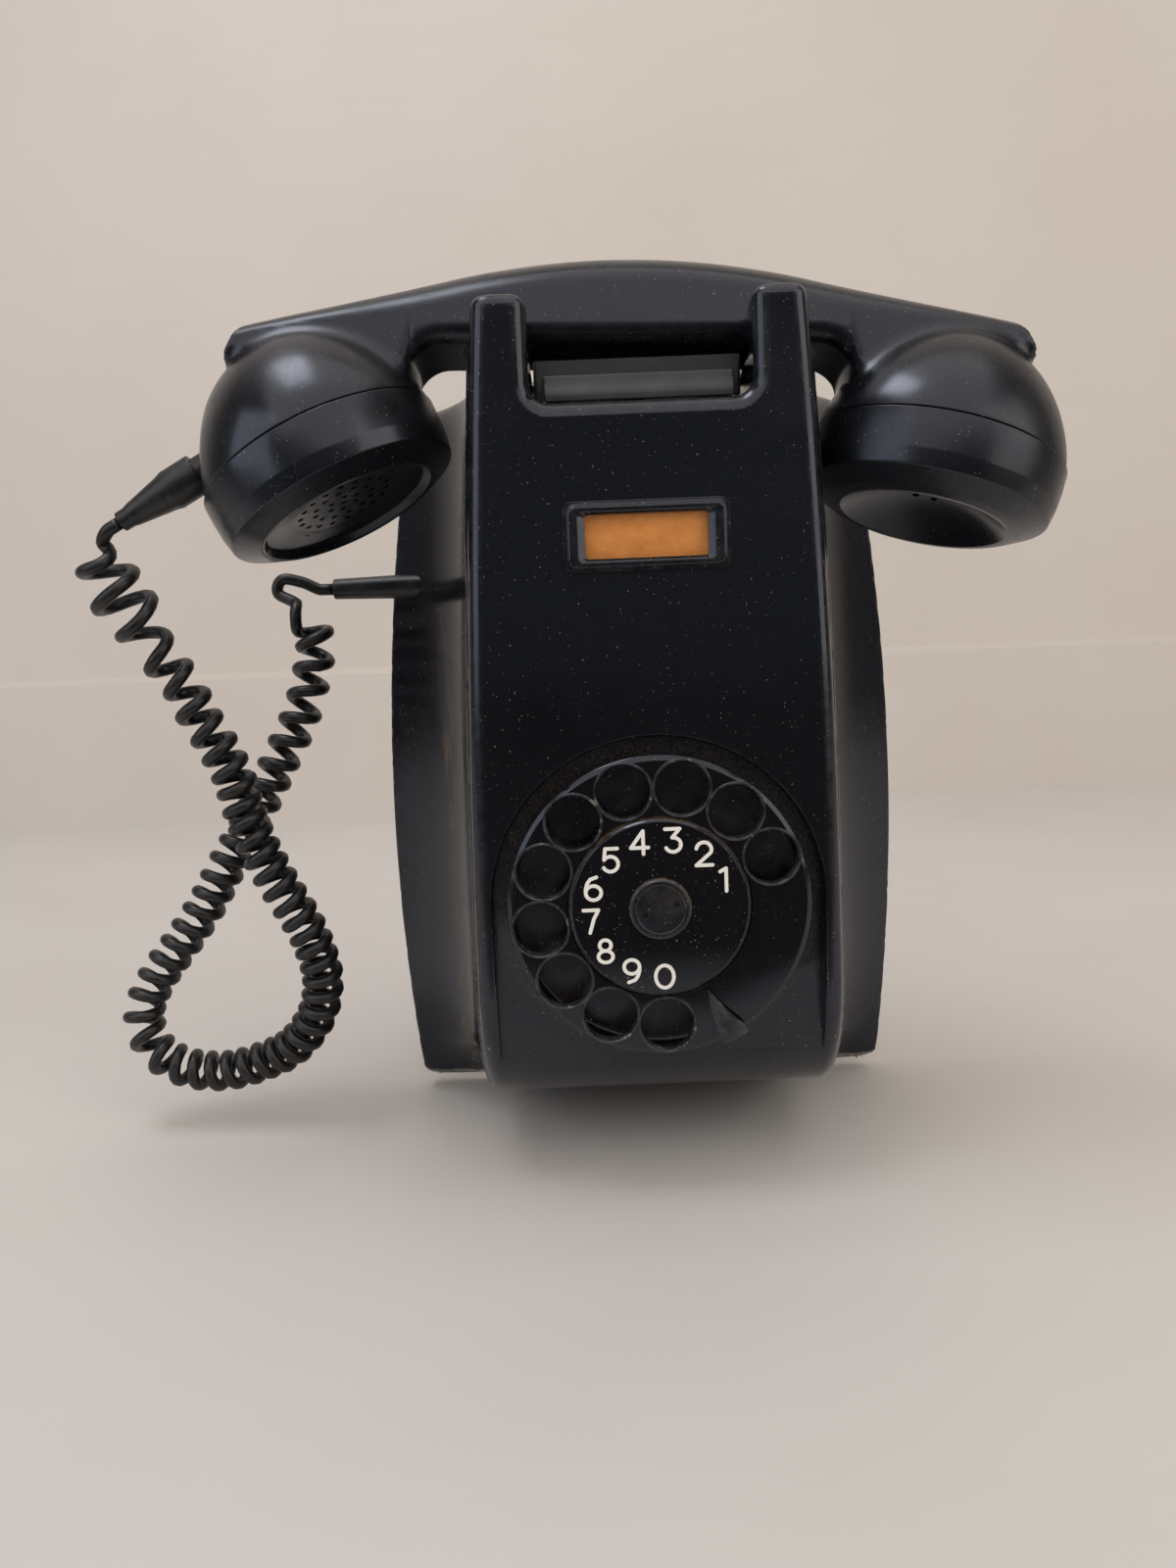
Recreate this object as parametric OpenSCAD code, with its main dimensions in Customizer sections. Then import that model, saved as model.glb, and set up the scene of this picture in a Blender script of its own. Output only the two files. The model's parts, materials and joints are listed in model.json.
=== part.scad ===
// Black phenolic wall telephone: rotary dial, handset lying across a fork, curly handset cord.
// The origin is the middle of the wall plate's back face: X right, Y into the wall, Z up.
// Depths are measured from the wall towards the front, so a depth d lies at y = -d.

/* [Body] */
// Depth from the wall to the flat front
body_d = 86; // [84:1:92]
// Drop of the lower edge below the origin
foot_drop = 103; // [100:1:106]
// Height of the shoulders above the origin
shoulder_h = 115; // [113:0.5:116]
// Widest half width, at the wall
back_half = 79.6; // [78:0.1:84]
// Height of the widest place
wide_z = -15; // [-30:1:0]
// Radius of the sides seen from the front
side_r = 680; // [500:10:1200]
// How closely the cove hugs the band before it flares
cove = 3.4; // [3.4:0.1:3.8]
// Half width of the front band at its widest
band_half = 48; // [47:0.5:50]
// What each side of the band loses up to the prong tops
band_taper = 7; // [5:0.5:8]
// Radius of the band's front edges
edge_r = 4; // [2:0.5:5]
// Step between the band and the coved flank
band_step = 0.8; // [0.4:0.1:1.2]
// Depth of the upright rim at the wall
rim_d = 8; // [4:1:12]
// Wall of the moulding
wall = 3; // [2.4:0.1:3.4]
// Height at which the front starts to curve back
chin_z = -48; // [-52:1:-44]
// Radius of the chin
chin_r = 38; // [34:1:40]
// Turn of the chin before the underside starts
chin_turn = 68; // [60:1:72]
// Radius of the shoulders' outer corners
shoulder_r = 12; // [8:1:14]

/* [Fork] */
// Height of the prong tops
prong_top = 127; // [124:0.5:130]
// Thickness of a prong, front to back
prong_d = 13; // [10:0.5:14]
// Half width of the gap between the prongs
fork_half = 27.5; // [26.5:0.5:28.5]
// Height of the lip below the gap
fork_lip = 101; // [98:0.5:103]
// Depth at which the opening for the cradle bar ends
fork_back = 50; // [47:0.5:50]
// Lowest height of the trough that the handle lies over
trough_z = 111.6; // [110:0.1:112]
// Radius of the trough
trough_r = 20; // [16:1:26]

/* [Number card] */
// Width of the card frame
card_w = 41.5; // [38:0.5:46]
// Height of the card frame
card_h = 17.5; // [16:0.5:21]
// Height of its middle above the origin
card_z = 68; // [60:0.5:74]
// Width of the window
window_w = 30.6; // [26:0.1:33]
// Height of the window
window_h = 10.8; // [8:0.1:11.5]
// How far the frame stands proud of the front
card_proud = 1.6; // [1:0.1:2.4]

/* [Dial] */
// Height of the dial's middle
dial_z = -25; // [-27:0.5:-23]
// Radius of the recess round the dial
pocket_r = 42.8; // [42:0.1:43.4]
// Depth of the recess below the flat front
pocket_d = 6; // [5:0.5:7]
// Radius of the finger wheel
wheel_r = 38.8; // [38:0.1:39.4]
// How far the wheel's face stands in front of the flat front
wheel_proud = 5; // [4:0.25:6]
// Height of the wheel's skirt
wheel_skirt = 5.5; // [4:0.25:6]
// Radius of the circle of finger holes
holes_r = 30.9; // [30:0.1:31.2]
// Radius of a finger hole
hole_r = 6.8; // [6:0.1:7]
// Number of finger holes
hole_count = 10; // [5:1:10]
// Steps in a full turn of the dial
dial_steps = 13; // [13:1:14]
// Angle of the first finger hole
first_hole = 22.5; // [20:0.5:25]
// Radius of the number disc
disc_r = 22.8; // [18:0.1:23]
// How far the number disc stands above the wheel
disc_proud = 1.8; // [1:0.1:2.4]
// Radius of the centre nut
nut_r = 7.7; // [6:0.1:9]
// Angle of the finger stop
stop_angle = 298; // [296:0.5:302]
// Radius of the dial's main shaft
shaft_r = 3; // [2.5:0.1:3.4]
// Radius of the dial's case
case_r = 34.7; // [34:0.1:35.4]
// Depth of the dial's case behind the floor of the recess
case_d = 30; // [29:0.5:31]
// Running clearance of shafts and pins
run_gap = 0.05; // [0.02:0.01:0.08]

/* [Dial train] */
// Module of the first gear pair
gear_m = 0.6; // [0.5:0.02:0.6]
// Teeth of the main gear
main_teeth = 64; // [48:2:64]
// Teeth of both pinions
pinion_teeth = 16; // [16:1:18]
// Module of the second gear pair
fast_m = 0.5; // [0.4:0.02:0.5]
// Teeth of the second wheel
second_teeth = 32; // [28:2:32]
// Play between the flanks of two teeth
backlash = 0.16; // [0.1:0.02:0.3]
// Direction from the main shaft to the second shaft
train_angle = 100; // [90:5:110]

/* [Handset] */
// Half distance between the middles of the two cups
cup_x = 82.5; // [82.5:0.1:83]
// Drop of the cups' middles below the handle's middle
cup_drop = 39.5; // [38:0.5:41]
// Radius of the cups
cup_r = 33; // [32:0.1:33]
// Inward tilt of the mouthpiece
mouth_tilt = 27; // [24:1:28]
// Inward tilt of the earpiece
ear_tilt = 15; // [14:1:18]
// Height of a cup's dome over the seam
dome_h = 39.5; // [37:0.5:41]
// Height of a screwed-on cap, up to its bevel
cap_h = 14; // [13:0.5:15]
// How far the mouthpiece's lip stands below the bevel's edge
mouth_lip = 3; // [2:0.1:3.5]
// How far the earpiece's lip stands below the bevel's edge
ear_lip = 4; // [3:0.1:4.5]
// Depth of the handle
handle_d = 27; // [25:0.5:28]
// Height from the handle's middle up to its crown
handle_up = 12.1; // [11:0.1:14]
// Height from the handle's middle down to its underside
handle_down = 12.8; // [11:0.1:13]
// Half length of the handle's top line
handle_half = 99.5; // [98:0.5:101]
// Fall of the top line from the crown to its ends
handle_fall = 17.6; // [16:0.1:18]
// Lean of the handset to its right in the fork
handset_roll = 2; // [0:0.5:3]
// Lean of the handset's top towards the wall
handset_lean = 8; // [6:0.5:9]
// Height of the handle's middle above the origin
handset_z = 129.9; // [129.9:0.1:131]
// Depth of the handle's middle
handset_y = 54; // [53:0.5:54.5]
// Sideways place of the handle's middle
handset_x = -1; // [-1:0.1:0]

/* [Cord] */
// Diameter of the cord
cord_d = 3.6; // [3.2:0.1:3.8]
// Length of the handset's cord sleeve
sleeve_l = 28; // [26:0.5:29]
// Radius of that sleeve where it leaves the cup
sleeve_r = 5.4; // [4.5:0.1:6]
// Height of the body's cord sleeve
gland_z = 61; // [58:0.5:64]
// Depth of the body's cord sleeve
gland_y = 12.5; // [12:0.5:14]
// Radius of the body's cord sleeve
gland_r = 3.6; // [3:0.1:4]

/* [Wall plate] */
// Width of the wall plate
plate_w = 124; // [116:1:130]
// Height of the wall plate
plate_h = 184; // [176:1:188]
// Thickness of the wall plate
plate_t = 2; // [1.5:0.1:3]
// Distance between the fixing holes, across
fix_w = 96; // [80:1:100]
// Distance between the fixing holes, up
fix_h = 160; // [140:1:164]
// Radius of a fixing hole
fix_r = 2.6; // [2:0.1:3.2]
// Radius of the line cord's inlet
inlet_r = 3.5; // [3:0.1:4]

/* [Ringer] */
// Radius of a gong
gong_r = 22; // [18:0.5:22]
// Height of the gongs' middles
gong_z = 44; // [42:0.5:46]
// Half distance between the gongs' middles
gong_x = 28; // [28:0.5:29]
// Depth of a gong's bell
gong_h = 14; // [10:0.5:15]
// Radius of the clapper's ball
ball_r = 3.5; // [2.5:0.1:3.5]
// Radius of a ringer coil
coil_r = 8; // [6:0.5:9]
// Length of a ringer coil
coil_l = 20; // [16:1:20]

/* [Hidden] */

bakelite = "#17181b";
black_steel = "#26272a";
bright_steel = "#a9abad";
nickel = "#c2c0b8";
brass = "#b08d4a";
copper = "#9a5b34";
paper = "#b8743a";
grey_part = "#8d8f90";
fibre = "#6a4a2c";
rubber = "#1c1c1e";

$fn = 64;
// Hair line between two solids of one body that are screwed or pressed together
seam = 0.1;
// Gap between two bodies that only come close
clear = 0.4;

// Shape of the body at each height

chin_back = body_d - chin_r;
chin_low = chin_z - chin_r * sin(chin_turn);
chin_low_d = chin_back + chin_r * cos(chin_turn);
corner_r = 9;

function front_at(z) =
    z >= chin_z ? body_d
    : z >= chin_low ? chin_back + sqrt(pow(chin_r, 2) - pow(z - chin_z, 2))
    : chin_low_d * (z + foot_drop) / (chin_low + foot_drop);

// What a rounded corner of radius r takes off at a distance over its start
function round_off(over, r) = over <= 0 ? 0 : r - sqrt(max(0, pow(r, 2) - pow(min(over, r), 2)));

function back_at(z) =
    back_half - pow(z - wide_z, 2) / (2 * side_r)
    - round_off(z - shoulder_h + shoulder_r, shoulder_r)
    - round_off(corner_r - foot_drop - z, corner_r);

band_low = -60;
function band_at(z) = band_half - band_taper * pow((z - band_low) / (prong_top - band_low), 2);

// Right half of the section at height z, from the wall to the front, t inside the outer face
function half_section(z, t, step, flank = 7, corner = 4) =
    let (d = max(0.6, front_at(z - t) - t), b = back_at(z) - 1.2 * t, w = band_at(z) - t,
         r = min(edge_r, 0.35 * d), rim = min(rim_d, 0.4 * d), top = d - r - 1 * r / edge_r)
    concat(
        [[b, t > 0 ? -1 : 0]],
        [for (i = [flank:-1:0]) let (u = i / flank) [w + step + (b - w - step) * pow(u, cove), top + (rim - top) * u]],
        [for (i = [0:corner]) let (a = 90 * i / corner) [w - r + r * cos(a), d - r + r * sin(a)]]);

function section(z, t, step) =
    let (half = half_section(z, t, step), n = len(half))
    concat([for (p = half) [p.x, -p.y, z]], [for (i = [n - 1:-1:0]) [-half[i].x, -half[i].y, z]]);

// Skin over a row of rings that all have the same number of points
module loft(rings) {
    n = len(rings[0]);
    m = len(rings);
    sides = [for (j = [0:m - 2], i = [0:n - 1], h = [0, 1])
        let (k = (i + 1) % n, a = j * n + i, b = j * n + k, c = a + n, d = b + n)
        h == 0 ? [a, b, d] : [a, d, c]];
    polyhedron(
        points = [for (r = rings) each r],
        faces = concat([[for (i = [n - 1:-1:0]) i]], sides, [[for (i = [0:n - 1]) (m - 1) * n + i]]));
}

low_zs = [for (k = [0.4, 3, 6, 10, 14]) -foot_drop + k];
chin_zs = [for (i = [6:-1:0]) chin_z - chin_r * sin(chin_turn * i / 6)];
mid_zs = [for (i = [1:5]) chin_z + (shoulder_h - shoulder_r - chin_z) * i / 5];
top_zs = [for (i = [1:4]) shoulder_h - shoulder_r + shoulder_r * sin(min(84, 22.5 * i))];

module body_skin(t, zs) {
    loft([for (z = zs) section(z, t, t > 0 ? 0.4 : band_step)]);
}

// Turned and drilled shapes along Y, by depth from the wall

module rod(r, d0, d1, x = 0, z = 0) {
    translate([x, -d0, z]) rotate([90, 0, 0]) cylinder(r = r, h = d1 - d0);
}

module tube(r_out, r_in, d0, d1, x = 0, z = 0) {
    difference() {
        rod(r_out, d0, d1, x, z);
        rod(r_in, d0 - 1, d1 + 1, x, z);
    }
}

// A profile of [radius, depth] points turned round an axis along Y
module turned(points, x = 0, z = 0) {
    translate([x, 0, z]) rotate([90, 0, 0]) rotate_extrude() polygon(points);
}

// A block given by its sides
module block(x0, x1, d0, d1, z0, z1) {
    translate([x0, -d1, z0]) cube([x1 - x0, d1 - d0, z1 - z0]);
}

// An upright slab with round corners, seen from the front
module slab(w, h, r, d0, d1, x = 0, z = 0) {
    block(x - w / 2 + r, x + w / 2 - r, d0, d1, z - h / 2, z + h / 2);
    block(x - w / 2, x + w / 2, d0, d1, z - h / 2 + r, z + h / 2 - r);
    for (i = [-1, 1], j = [-1, 1]) rod(r, d0, d1, x + i * (w / 2 - r), z + j * (h / 2 - r));
}

// Body and wall plate

pocket_floor = body_d - pocket_d;
case_gap = 0.3;
dial_seat_r = case_r + case_gap;
card_seat = 1.4;
screw_x = 0;
screw_d = 30;
screw_r = 2;
inlet_x = 0;
inlet_z = -70;
plate_z = 0;

module pocket_shape(r, d0, d1) {
    rod(r, d0, d1, 0, dial_z);
    block(-r, r, d0, d1, -foot_drop - 8, dial_z);
}

// The prong reaches a little into the gap, which is cut flat after it
module prong(side) {
    r = 2.5;
    x_out = band_at(fork_lip) - 0.4;
    x_top = band_at(prong_top);
    hull() {
        for (d = [body_d - r, body_d - prong_d + r]) {
            for (x = [fork_half - 0.5 + r, x_out - r])
                translate([side * x, -d, fork_lip - 8]) cylinder(r = r, h = 1, $fn = 32);
            for (x = [fork_half - 0.5 + r, x_top - r])
                translate([side * x, -d, prong_top - r]) sphere(r = r, $fn = 24);
        }
    }
}

module housing() {
    color(bakelite) difference() {
        union() {
            difference() {
                body_skin(0, concat(low_zs, chin_zs, mid_zs, top_zs));
                housing_hollow();
            }
            intersection() {
                pocket_shape(pocket_r + wall, pocket_floor - wall, body_d - 1);
                body_skin(0.5, concat(low_zs, chin_zs, mid_zs));
            }
            for (s = [-1, 1]) prong(s);
        }
        pocket_shape(pocket_r, pocket_floor, body_d + 10);
        rod(dial_seat_r, pocket_floor - wall - 2, body_d, 0, dial_z);
        fork_opening();
        trough(trough_r);
        slab(card_w - 6, card_h - 6, 1, body_d - wall - 1, body_d + 1, 0, card_z);
        translate([-back_half - 5, -gland_y, gland_z]) rotate([0, 90, 0]) cylinder(r = gland_r + seam, h = 30);
        translate([screw_x, -screw_d, -foot_drop - 5]) cylinder(r = screw_r + 0.3, h = 40);
    }
}

// The hollow stops a wall short of the shoulders, of the trough and of the underside
hollow_top = shoulder_h - wall - 0.6;
hollow_low = -foot_drop + 7;
module housing_hollow() {
    inner_low = [for (z = low_zs) z + wall];
    inner_top = [for (z = top_zs) z - wall];
    intersection() {
        difference() {
            body_skin(wall, concat([for (z = inner_low) if (z < chin_low - 1) z], chin_zs, mid_zs, inner_top));
            trough(trough_r + wall);
        }
        block(-back_half, back_half, -0.5, body_d, hollow_low, hollow_top);
    }
}

module trough(r) {
    translate([0, -handset_y, trough_z + trough_r]) rotate([0, 90, 0]) cylinder(r = r, h = 200, center = true);
}

module fork_opening() {
    slab(2 * fork_half, 2 * (prong_top + 20 - fork_lip), 2, fork_back, body_d + 5, 0, prong_top + 20);
}

module cover_screw() {
    z = -foot_drop + (chin_low + foot_drop) * screw_d / chin_low_d;
    color(bright_steel) translate([screw_x, -screw_d, z + 0.6]) difference() {
        union() {
            translate([0, 0, 3]) cylinder(r = screw_r, h = 14.8);
            cylinder(r = screw_r + 0.2, h = 3);
        }
        translate([-5, -0.4, -1]) cube([10, 0.8, 2]);
    }
}

module wall_plate() {
    lug_z = -foot_drop + (chin_low + foot_drop) * screw_d / chin_low_d + 8 + 0.1;
    color(black_steel) difference() {
        union() {
            slab(plate_w, plate_h, 6, 0, plate_t, 0, plate_z);
            block(-7, 7, 1, screw_d + 6, lug_z, lug_z + 2.5);
        }
        for (i = [-1, 1], j = [-1, 1]) rod(fix_r, -1, plate_t + 1, i * fix_w / 2, plate_z + j * fix_h / 2);
        rod(inlet_r + 1.5, -1, plate_t + 1, inlet_x, inlet_z);
        translate([screw_x, -screw_d, lug_z - 1]) cylinder(r = screw_r + run_gap, h = 5);
    }
}

module line_grommet() {
    color(rubber) turned([
        [inlet_r, 0], [inlet_r + 1.4, 0], [inlet_r + 1.4, plate_t + 0.05], [inlet_r + 3, plate_t + 0.05],
        [inlet_r + 3, plate_t + 2.5], [inlet_r, plate_t + 2.5]], inlet_x, inlet_z);
}

// Number card

module card_frame() {
    lip = 1.2;
    color(bakelite) difference() {
        union() {
            slab(card_w, card_h, 2.5, body_d + 0.05, body_d + card_proud - 0.6, 0, card_z);
            slab(card_w - 2.4, card_h - 2.4, 2, body_d + card_proud - 0.7, body_d + card_proud, 0, card_z);
            slab(card_w - 6.2, card_h - 6.2, 1, body_d - wall + 0.2, body_d + 0.2, 0, card_z);
        }
        slab(window_w, window_h, 0.8, body_d + card_proud - lip, body_d + 5, 0, card_z);
        slab(window_w + 1.6, window_h + 0.4, 0.6, body_d - wall + 0.7, body_d + card_proud - lip + 0.01, 0, card_z);
    }
}

card_front = body_d - wall + 1.2;
card_t = 0.4;
glass_t = 0.8;

module number_card() {
    color(paper) block(
        -window_w / 2 - 0.5, window_w / 2 + 0.5, card_front - 0.45, card_front - 0.45 + card_t,
        card_z - window_h / 2 - 0.1, card_z + window_h / 2 + 0.1);
}

module card_window() {
    color([0.9, 0.8, 0.6, 0.35]) block(
        -window_w / 2 - 0.5, window_w / 2 + 0.5, card_front, card_front + glass_t,
        card_z - window_h / 2 - 0.1, card_z + window_h / 2 + 0.1);
}

// Dial: case and plates that stand still

case_wall = 1.4;
flange_t = 1.2;
flange_r = case_r + 2.8;
case_back = pocket_floor - case_d;
plate_front = pocket_floor + flange_t;
cover_t = 1.5;
cover_front = plate_front + cover_t;
frame_t = 2;
frame_front = case_back + frame_t;

module dial_case() {
    color(black_steel) difference() {
        turned([
            [case_r, case_back], [case_r, pocket_floor + 0.02], [flange_r, pocket_floor + 0.02],
            [flange_r, plate_front], [case_r - case_wall, plate_front], [case_r - case_wall, case_back]], 0, dial_z);
    }
}

module dial_clamp_ring() {
    ring_front = pocket_floor - wall - 0.05;
    color(bright_steel) tube(case_r + 4, case_r + seam, ring_front - 2.5, ring_front, 0, dial_z);
}

module dial_plate() {
    color(bakelite) tube(flange_r - 0.2, shaft_r + run_gap, plate_front + 0.02, cover_front, 0, dial_z);
}

module dial_frame() {
    second = second_place();
    fast = fast_place();
    color(brass) difference() {
        rod(case_r - case_wall - seam, case_back, frame_front, 0, dial_z);
        rod(shaft_r + run_gap, case_back - 1, frame_front + 1, 0, dial_z);
        rod(arbor_r + run_gap, case_back - 1, frame_front + 1, second.x, second.y);
        rod(arbor_r + run_gap, case_back - 1, frame_front + 1, fast.x, fast.y);
    }
}

pillar_angles = [170, 235, 305, 10];
pillar_ring = case_r - 5;

module dial_pillars() {
    color(brass) for (a = pillar_angles)
        rod(2, frame_front, plate_front, pillar_ring * cos(a), dial_z + pillar_ring * sin(a));
}

// Dial: finger wheel and what turns with it

wheel_face = body_d + wheel_proud;
wheel_t = 2.5;
hub_r = 8;
collar_h = 0.5;
collar_w = 0.8;
hole_step = 360 / dial_steps;

module at_holes() {
    for (i = [0:hole_count - 1]) rotate([0, -first_hole - i * hole_step, 0]) translate([holes_r, 0, 0]) children();
}

module finger_wheel() {
    color(bakelite) translate([0, 0, dial_z]) difference() {
        union() {
            turned([
                [shaft_r + seam, cover_front + clear], [hub_r, cover_front + clear], [hub_r, wheel_face - wheel_t],
                [wheel_r - 2, wheel_face - wheel_t], [wheel_r - 2, wheel_face - wheel_skirt],
                [wheel_r, wheel_face - wheel_skirt], [wheel_r, wheel_face - 1], [wheel_r - 1, wheel_face],
                [shaft_r + seam, wheel_face]]);
            at_holes() rod(hole_r + collar_w, wheel_face - wheel_t - 0.6, wheel_face + collar_h);
        }
        at_holes() rod(hole_r, wheel_face - 10, wheel_face + 10);
        rod(disc_r + 0.3, wheel_face - 0.8, wheel_face + 5);
    }
}

disc_back = wheel_face - 0.78;
disc_front = wheel_face + disc_proud;

module number_disc() {
    color(bakelite) turned([
        [shaft_r + seam, disc_back], [disc_r, disc_back], [disc_r, disc_front - 0.6],
        [disc_r - 0.6, disc_front], [shaft_r + seam, disc_front]], 0, dial_z);
}

nut_front = disc_front + 1.3;

module centre_nut() {
    color(bakelite) difference() {
        turned([
            [0, disc_front + 0.02], [nut_r, disc_front + 0.02], [nut_r, nut_front - 0.5], [nut_r - 0.5, nut_front],
            [0, nut_front]], 0, dial_z);
        for (s = [-1, 1]) rod(0.8, nut_front - 0.9, nut_front + 1, s * 4, dial_z + s * 1.2);
    }
}

module dial_shaft() {
    color(bright_steel) rod(shaft_r, case_back - 1.5, disc_front - 0.02, 0, dial_z);
}

// The stop stands on the floor beside the wheel and reaches over it
module finger_stop() {
    stop_t = 1.2;
    foot_r0 = wheel_r + 0.7;
    over = wheel_face + collar_h + 0.6;
    tip_r = 24.5;
    half_w = 3.4;
    color(black_steel) translate([0, 0, dial_z]) rotate([0, -stop_angle, 0]) {
        block(foot_r0, foot_r0 + stop_t, pocket_floor + 0.05, over + stop_t, -half_w, half_w);
        translate([0, -over, 0]) rotate([90, 0, 0]) linear_extrude(stop_t)
            polygon([
                [foot_r0 + stop_t, -half_w], [foot_r0 + stop_t, half_w], [foot_r0 - 3, half_w + 0.4],
                [34, 2.4], [30, 1.2], [tip_r, 0.2], [tip_r, -0.4], [31, -2.2]]);
    }
}

// Gear train

function involute(rb, a) = [rb * (cos(a) + a * PI / 180 * sin(a)), rb * (sin(a) - a * PI / 180 * cos(a))];
function turn2(p, a) = [p.x * cos(a) - p.y * sin(a), p.x * sin(a) + p.y * cos(a)];

pressure = 20;
function gear_outline(teeth, m) =
    let (rp = m * teeth / 2, rb = rp * cos(pressure), ra = rp + 0.95 * m, rf = rp - 1.25 * m,
         spread = tan(pressure) * 180 / PI - pressure,
         half = 90 / teeth - backlash / (2 * rp) * 90 / PI + spread,
         tip = sqrt(pow(ra / rb, 2) - 1) * 180 / PI, low = rf > rb ? sqrt(pow(rf / rb, 2) - 1) * 180 / PI : 0,
         flank = [for (u = [0, 0.4, 0.7, 1]) turn2(involute(rb, low + (tip - low) * u), -half)],
         tooth = concat([turn2([rf, 0], -half)], flank,
                        [for (i = [3:-1:0]) [flank[i].x, -flank[i].y]], [turn2([rf, 0], half)]))
    [for (i = [0:teeth - 1]) each [for (p = tooth) turn2(p, i * 360 / teeth)]];

module gear(teeth, m, d0, d1, spin = 0) {
    translate([0, -d0, 0]) rotate([90, 0, 0]) rotate([0, 0, spin]) linear_extrude(d1 - d0)
        polygon(gear_outline(teeth, m));
}

arbor_r = 1.2;
train_dist = gear_m * (main_teeth + pinion_teeth) / 2;
fast_dist = fast_m * (second_teeth + pinion_teeth) / 2;
// The governor stands as far from the main shaft as the second arbor does
fast_turn = 2 * asin(fast_dist / 2 / train_dist);
function second_place() = [train_dist * cos(train_angle), dial_z + train_dist * sin(train_angle)];
function fast_place() =
    [train_dist * cos(train_angle - fast_turn), dial_z + train_dist * sin(train_angle - fast_turn)];
// Direction from the second arbor to the governor
fast_angle = train_angle - 90 - fast_turn / 2;
gear_d0 = frame_front + 2;
gear_t = 2;
second_d0 = gear_d0 + gear_t + 4;
arbor_tip = plate_front - 0.5;

module main_gear() {
    color(brass) translate([0, 0, dial_z]) difference() {
        gear(main_teeth, gear_m, gear_d0, gear_d0 + gear_t, train_angle);
        rod(shaft_r + seam, gear_d0 - 1, gear_d0 + gear_t + 1);
    }
}

module second_arbor() {
    place = second_place();
    mesh_spin = train_angle + 180 + 180 / pinion_teeth;
    wheel_spin = fast_angle;
    color(brass) translate([place.x, 0, place.y]) {
        rod(arbor_r, case_back, arbor_tip);
        gear(pinion_teeth, gear_m, gear_d0 - 0.5, gear_d0 + gear_t + 0.5, mesh_spin);
        gear(second_teeth, fast_m, second_d0, second_d0 + 1.5, wheel_spin);
    }
}

module pulse_cam() {
    place = second_place();
    color(fibre) translate([place.x, 0, place.y]) difference() {
        union() {
            rod(3.2, second_d0 + 5, second_d0 + 7);
            for (a = [0, 120, 240]) rotate([0, a, 0]) rod(0.9, second_d0 + 5, second_d0 + 7, 3.3);
        }
        rod(arbor_r + seam, second_d0, second_d0 + 10);
    }
}

governor_d0 = second_d0 + 3;
module governor_arbor() {
    place = fast_place();
    color(brass) translate([place.x, 0, place.y]) {
        rod(arbor_r, case_back, governor_d0 + 10);
        gear(pinion_teeth, fast_m, second_d0 - 0.5, second_d0 + 2, fast_angle + 180 + 180 / pinion_teeth);
        for (s = [-1, 1]) {
            block(min(0, s * 3.6), max(0, s * 3.6), governor_d0 + 2, governor_d0 + 3, -0.5, 0.5);
            rod(1.3, governor_d0 + 1, governor_d0 + 6, s * 3.6);
        }
    }
}

module governor_cup() {
    place = fast_place();
    color(nickel) turned([
        [arbor_r + 0.5, plate_front - 1.5], [6.6, plate_front - 1.5], [6.6, governor_d0], [5.8, governor_d0],
        [5.8, plate_front - 2.5], [arbor_r + 0.5, plate_front - 2.5]], place.x, place.y);
}

spring_d0 = gear_d0 + gear_t + 2;
spring_d1 = plate_front - 4;

module spring_drum() {
    color(bright_steel) difference() {
        turned([
            [shaft_r + 0.6, spring_d1 - 1], [14, spring_d1 - 1], [14, spring_d0], [15, spring_d0], [15, plate_front],
            [14, plate_front], [14, spring_d1], [shaft_r + 0.6, spring_d1]], 0, dial_z);
    }
}

// Flat spiral strip between the shaft and the drum
spiral_turns = 5;
spiral_in = 4;
spiral_out = 13.3;
strip = 0.5;
function spiral(a, off) = let (r = spiral_in + (spiral_out - spiral_in) * a / (360 * spiral_turns) + off) [r * cos(a), r * sin(a)];

module mainspring() {
    angles = [for (i = [0:12 * spiral_turns]) i * 30];
    n = len(angles);
    outline = concat([for (a = angles) spiral(a, 0)], [for (i = [n - 1:-1:0]) spiral(angles[i], strip)]);
    color(bright_steel) translate([0, -spring_d0 - 0.5, dial_z]) rotate([90, 0, 0])
        linear_extrude(spring_d1 - spring_d0 - 2) polygon(outline);
}

// Leaf contacts beside the pulse cam
module pulse_contacts() {
    place = second_place();
    x0 = place.x - 4.3 - clear;
    d0 = second_d0 + 5;
    color(fibre) block(x0 - 4, x0 + 0.2, d0 - 0.5, plate_front, place.y - 6, place.y);
    color(nickel) for (i = [0, 1])
        block(x0 - 0.3 - i * 1.6, x0 - i * 1.6, d0, d0 + 2.5, place.y - 0.5, place.y + 6);
}

// Cradle switch

hook_d = 40;
hook_z = 98;
hook_pin_r = 1.5;
arm_x = 22;
arm_t = 2;
bar_half = 24.5;
bar_front = 74;
bar_back = 62;
bar_top = 115.2;
bar_low = 103;

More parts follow.
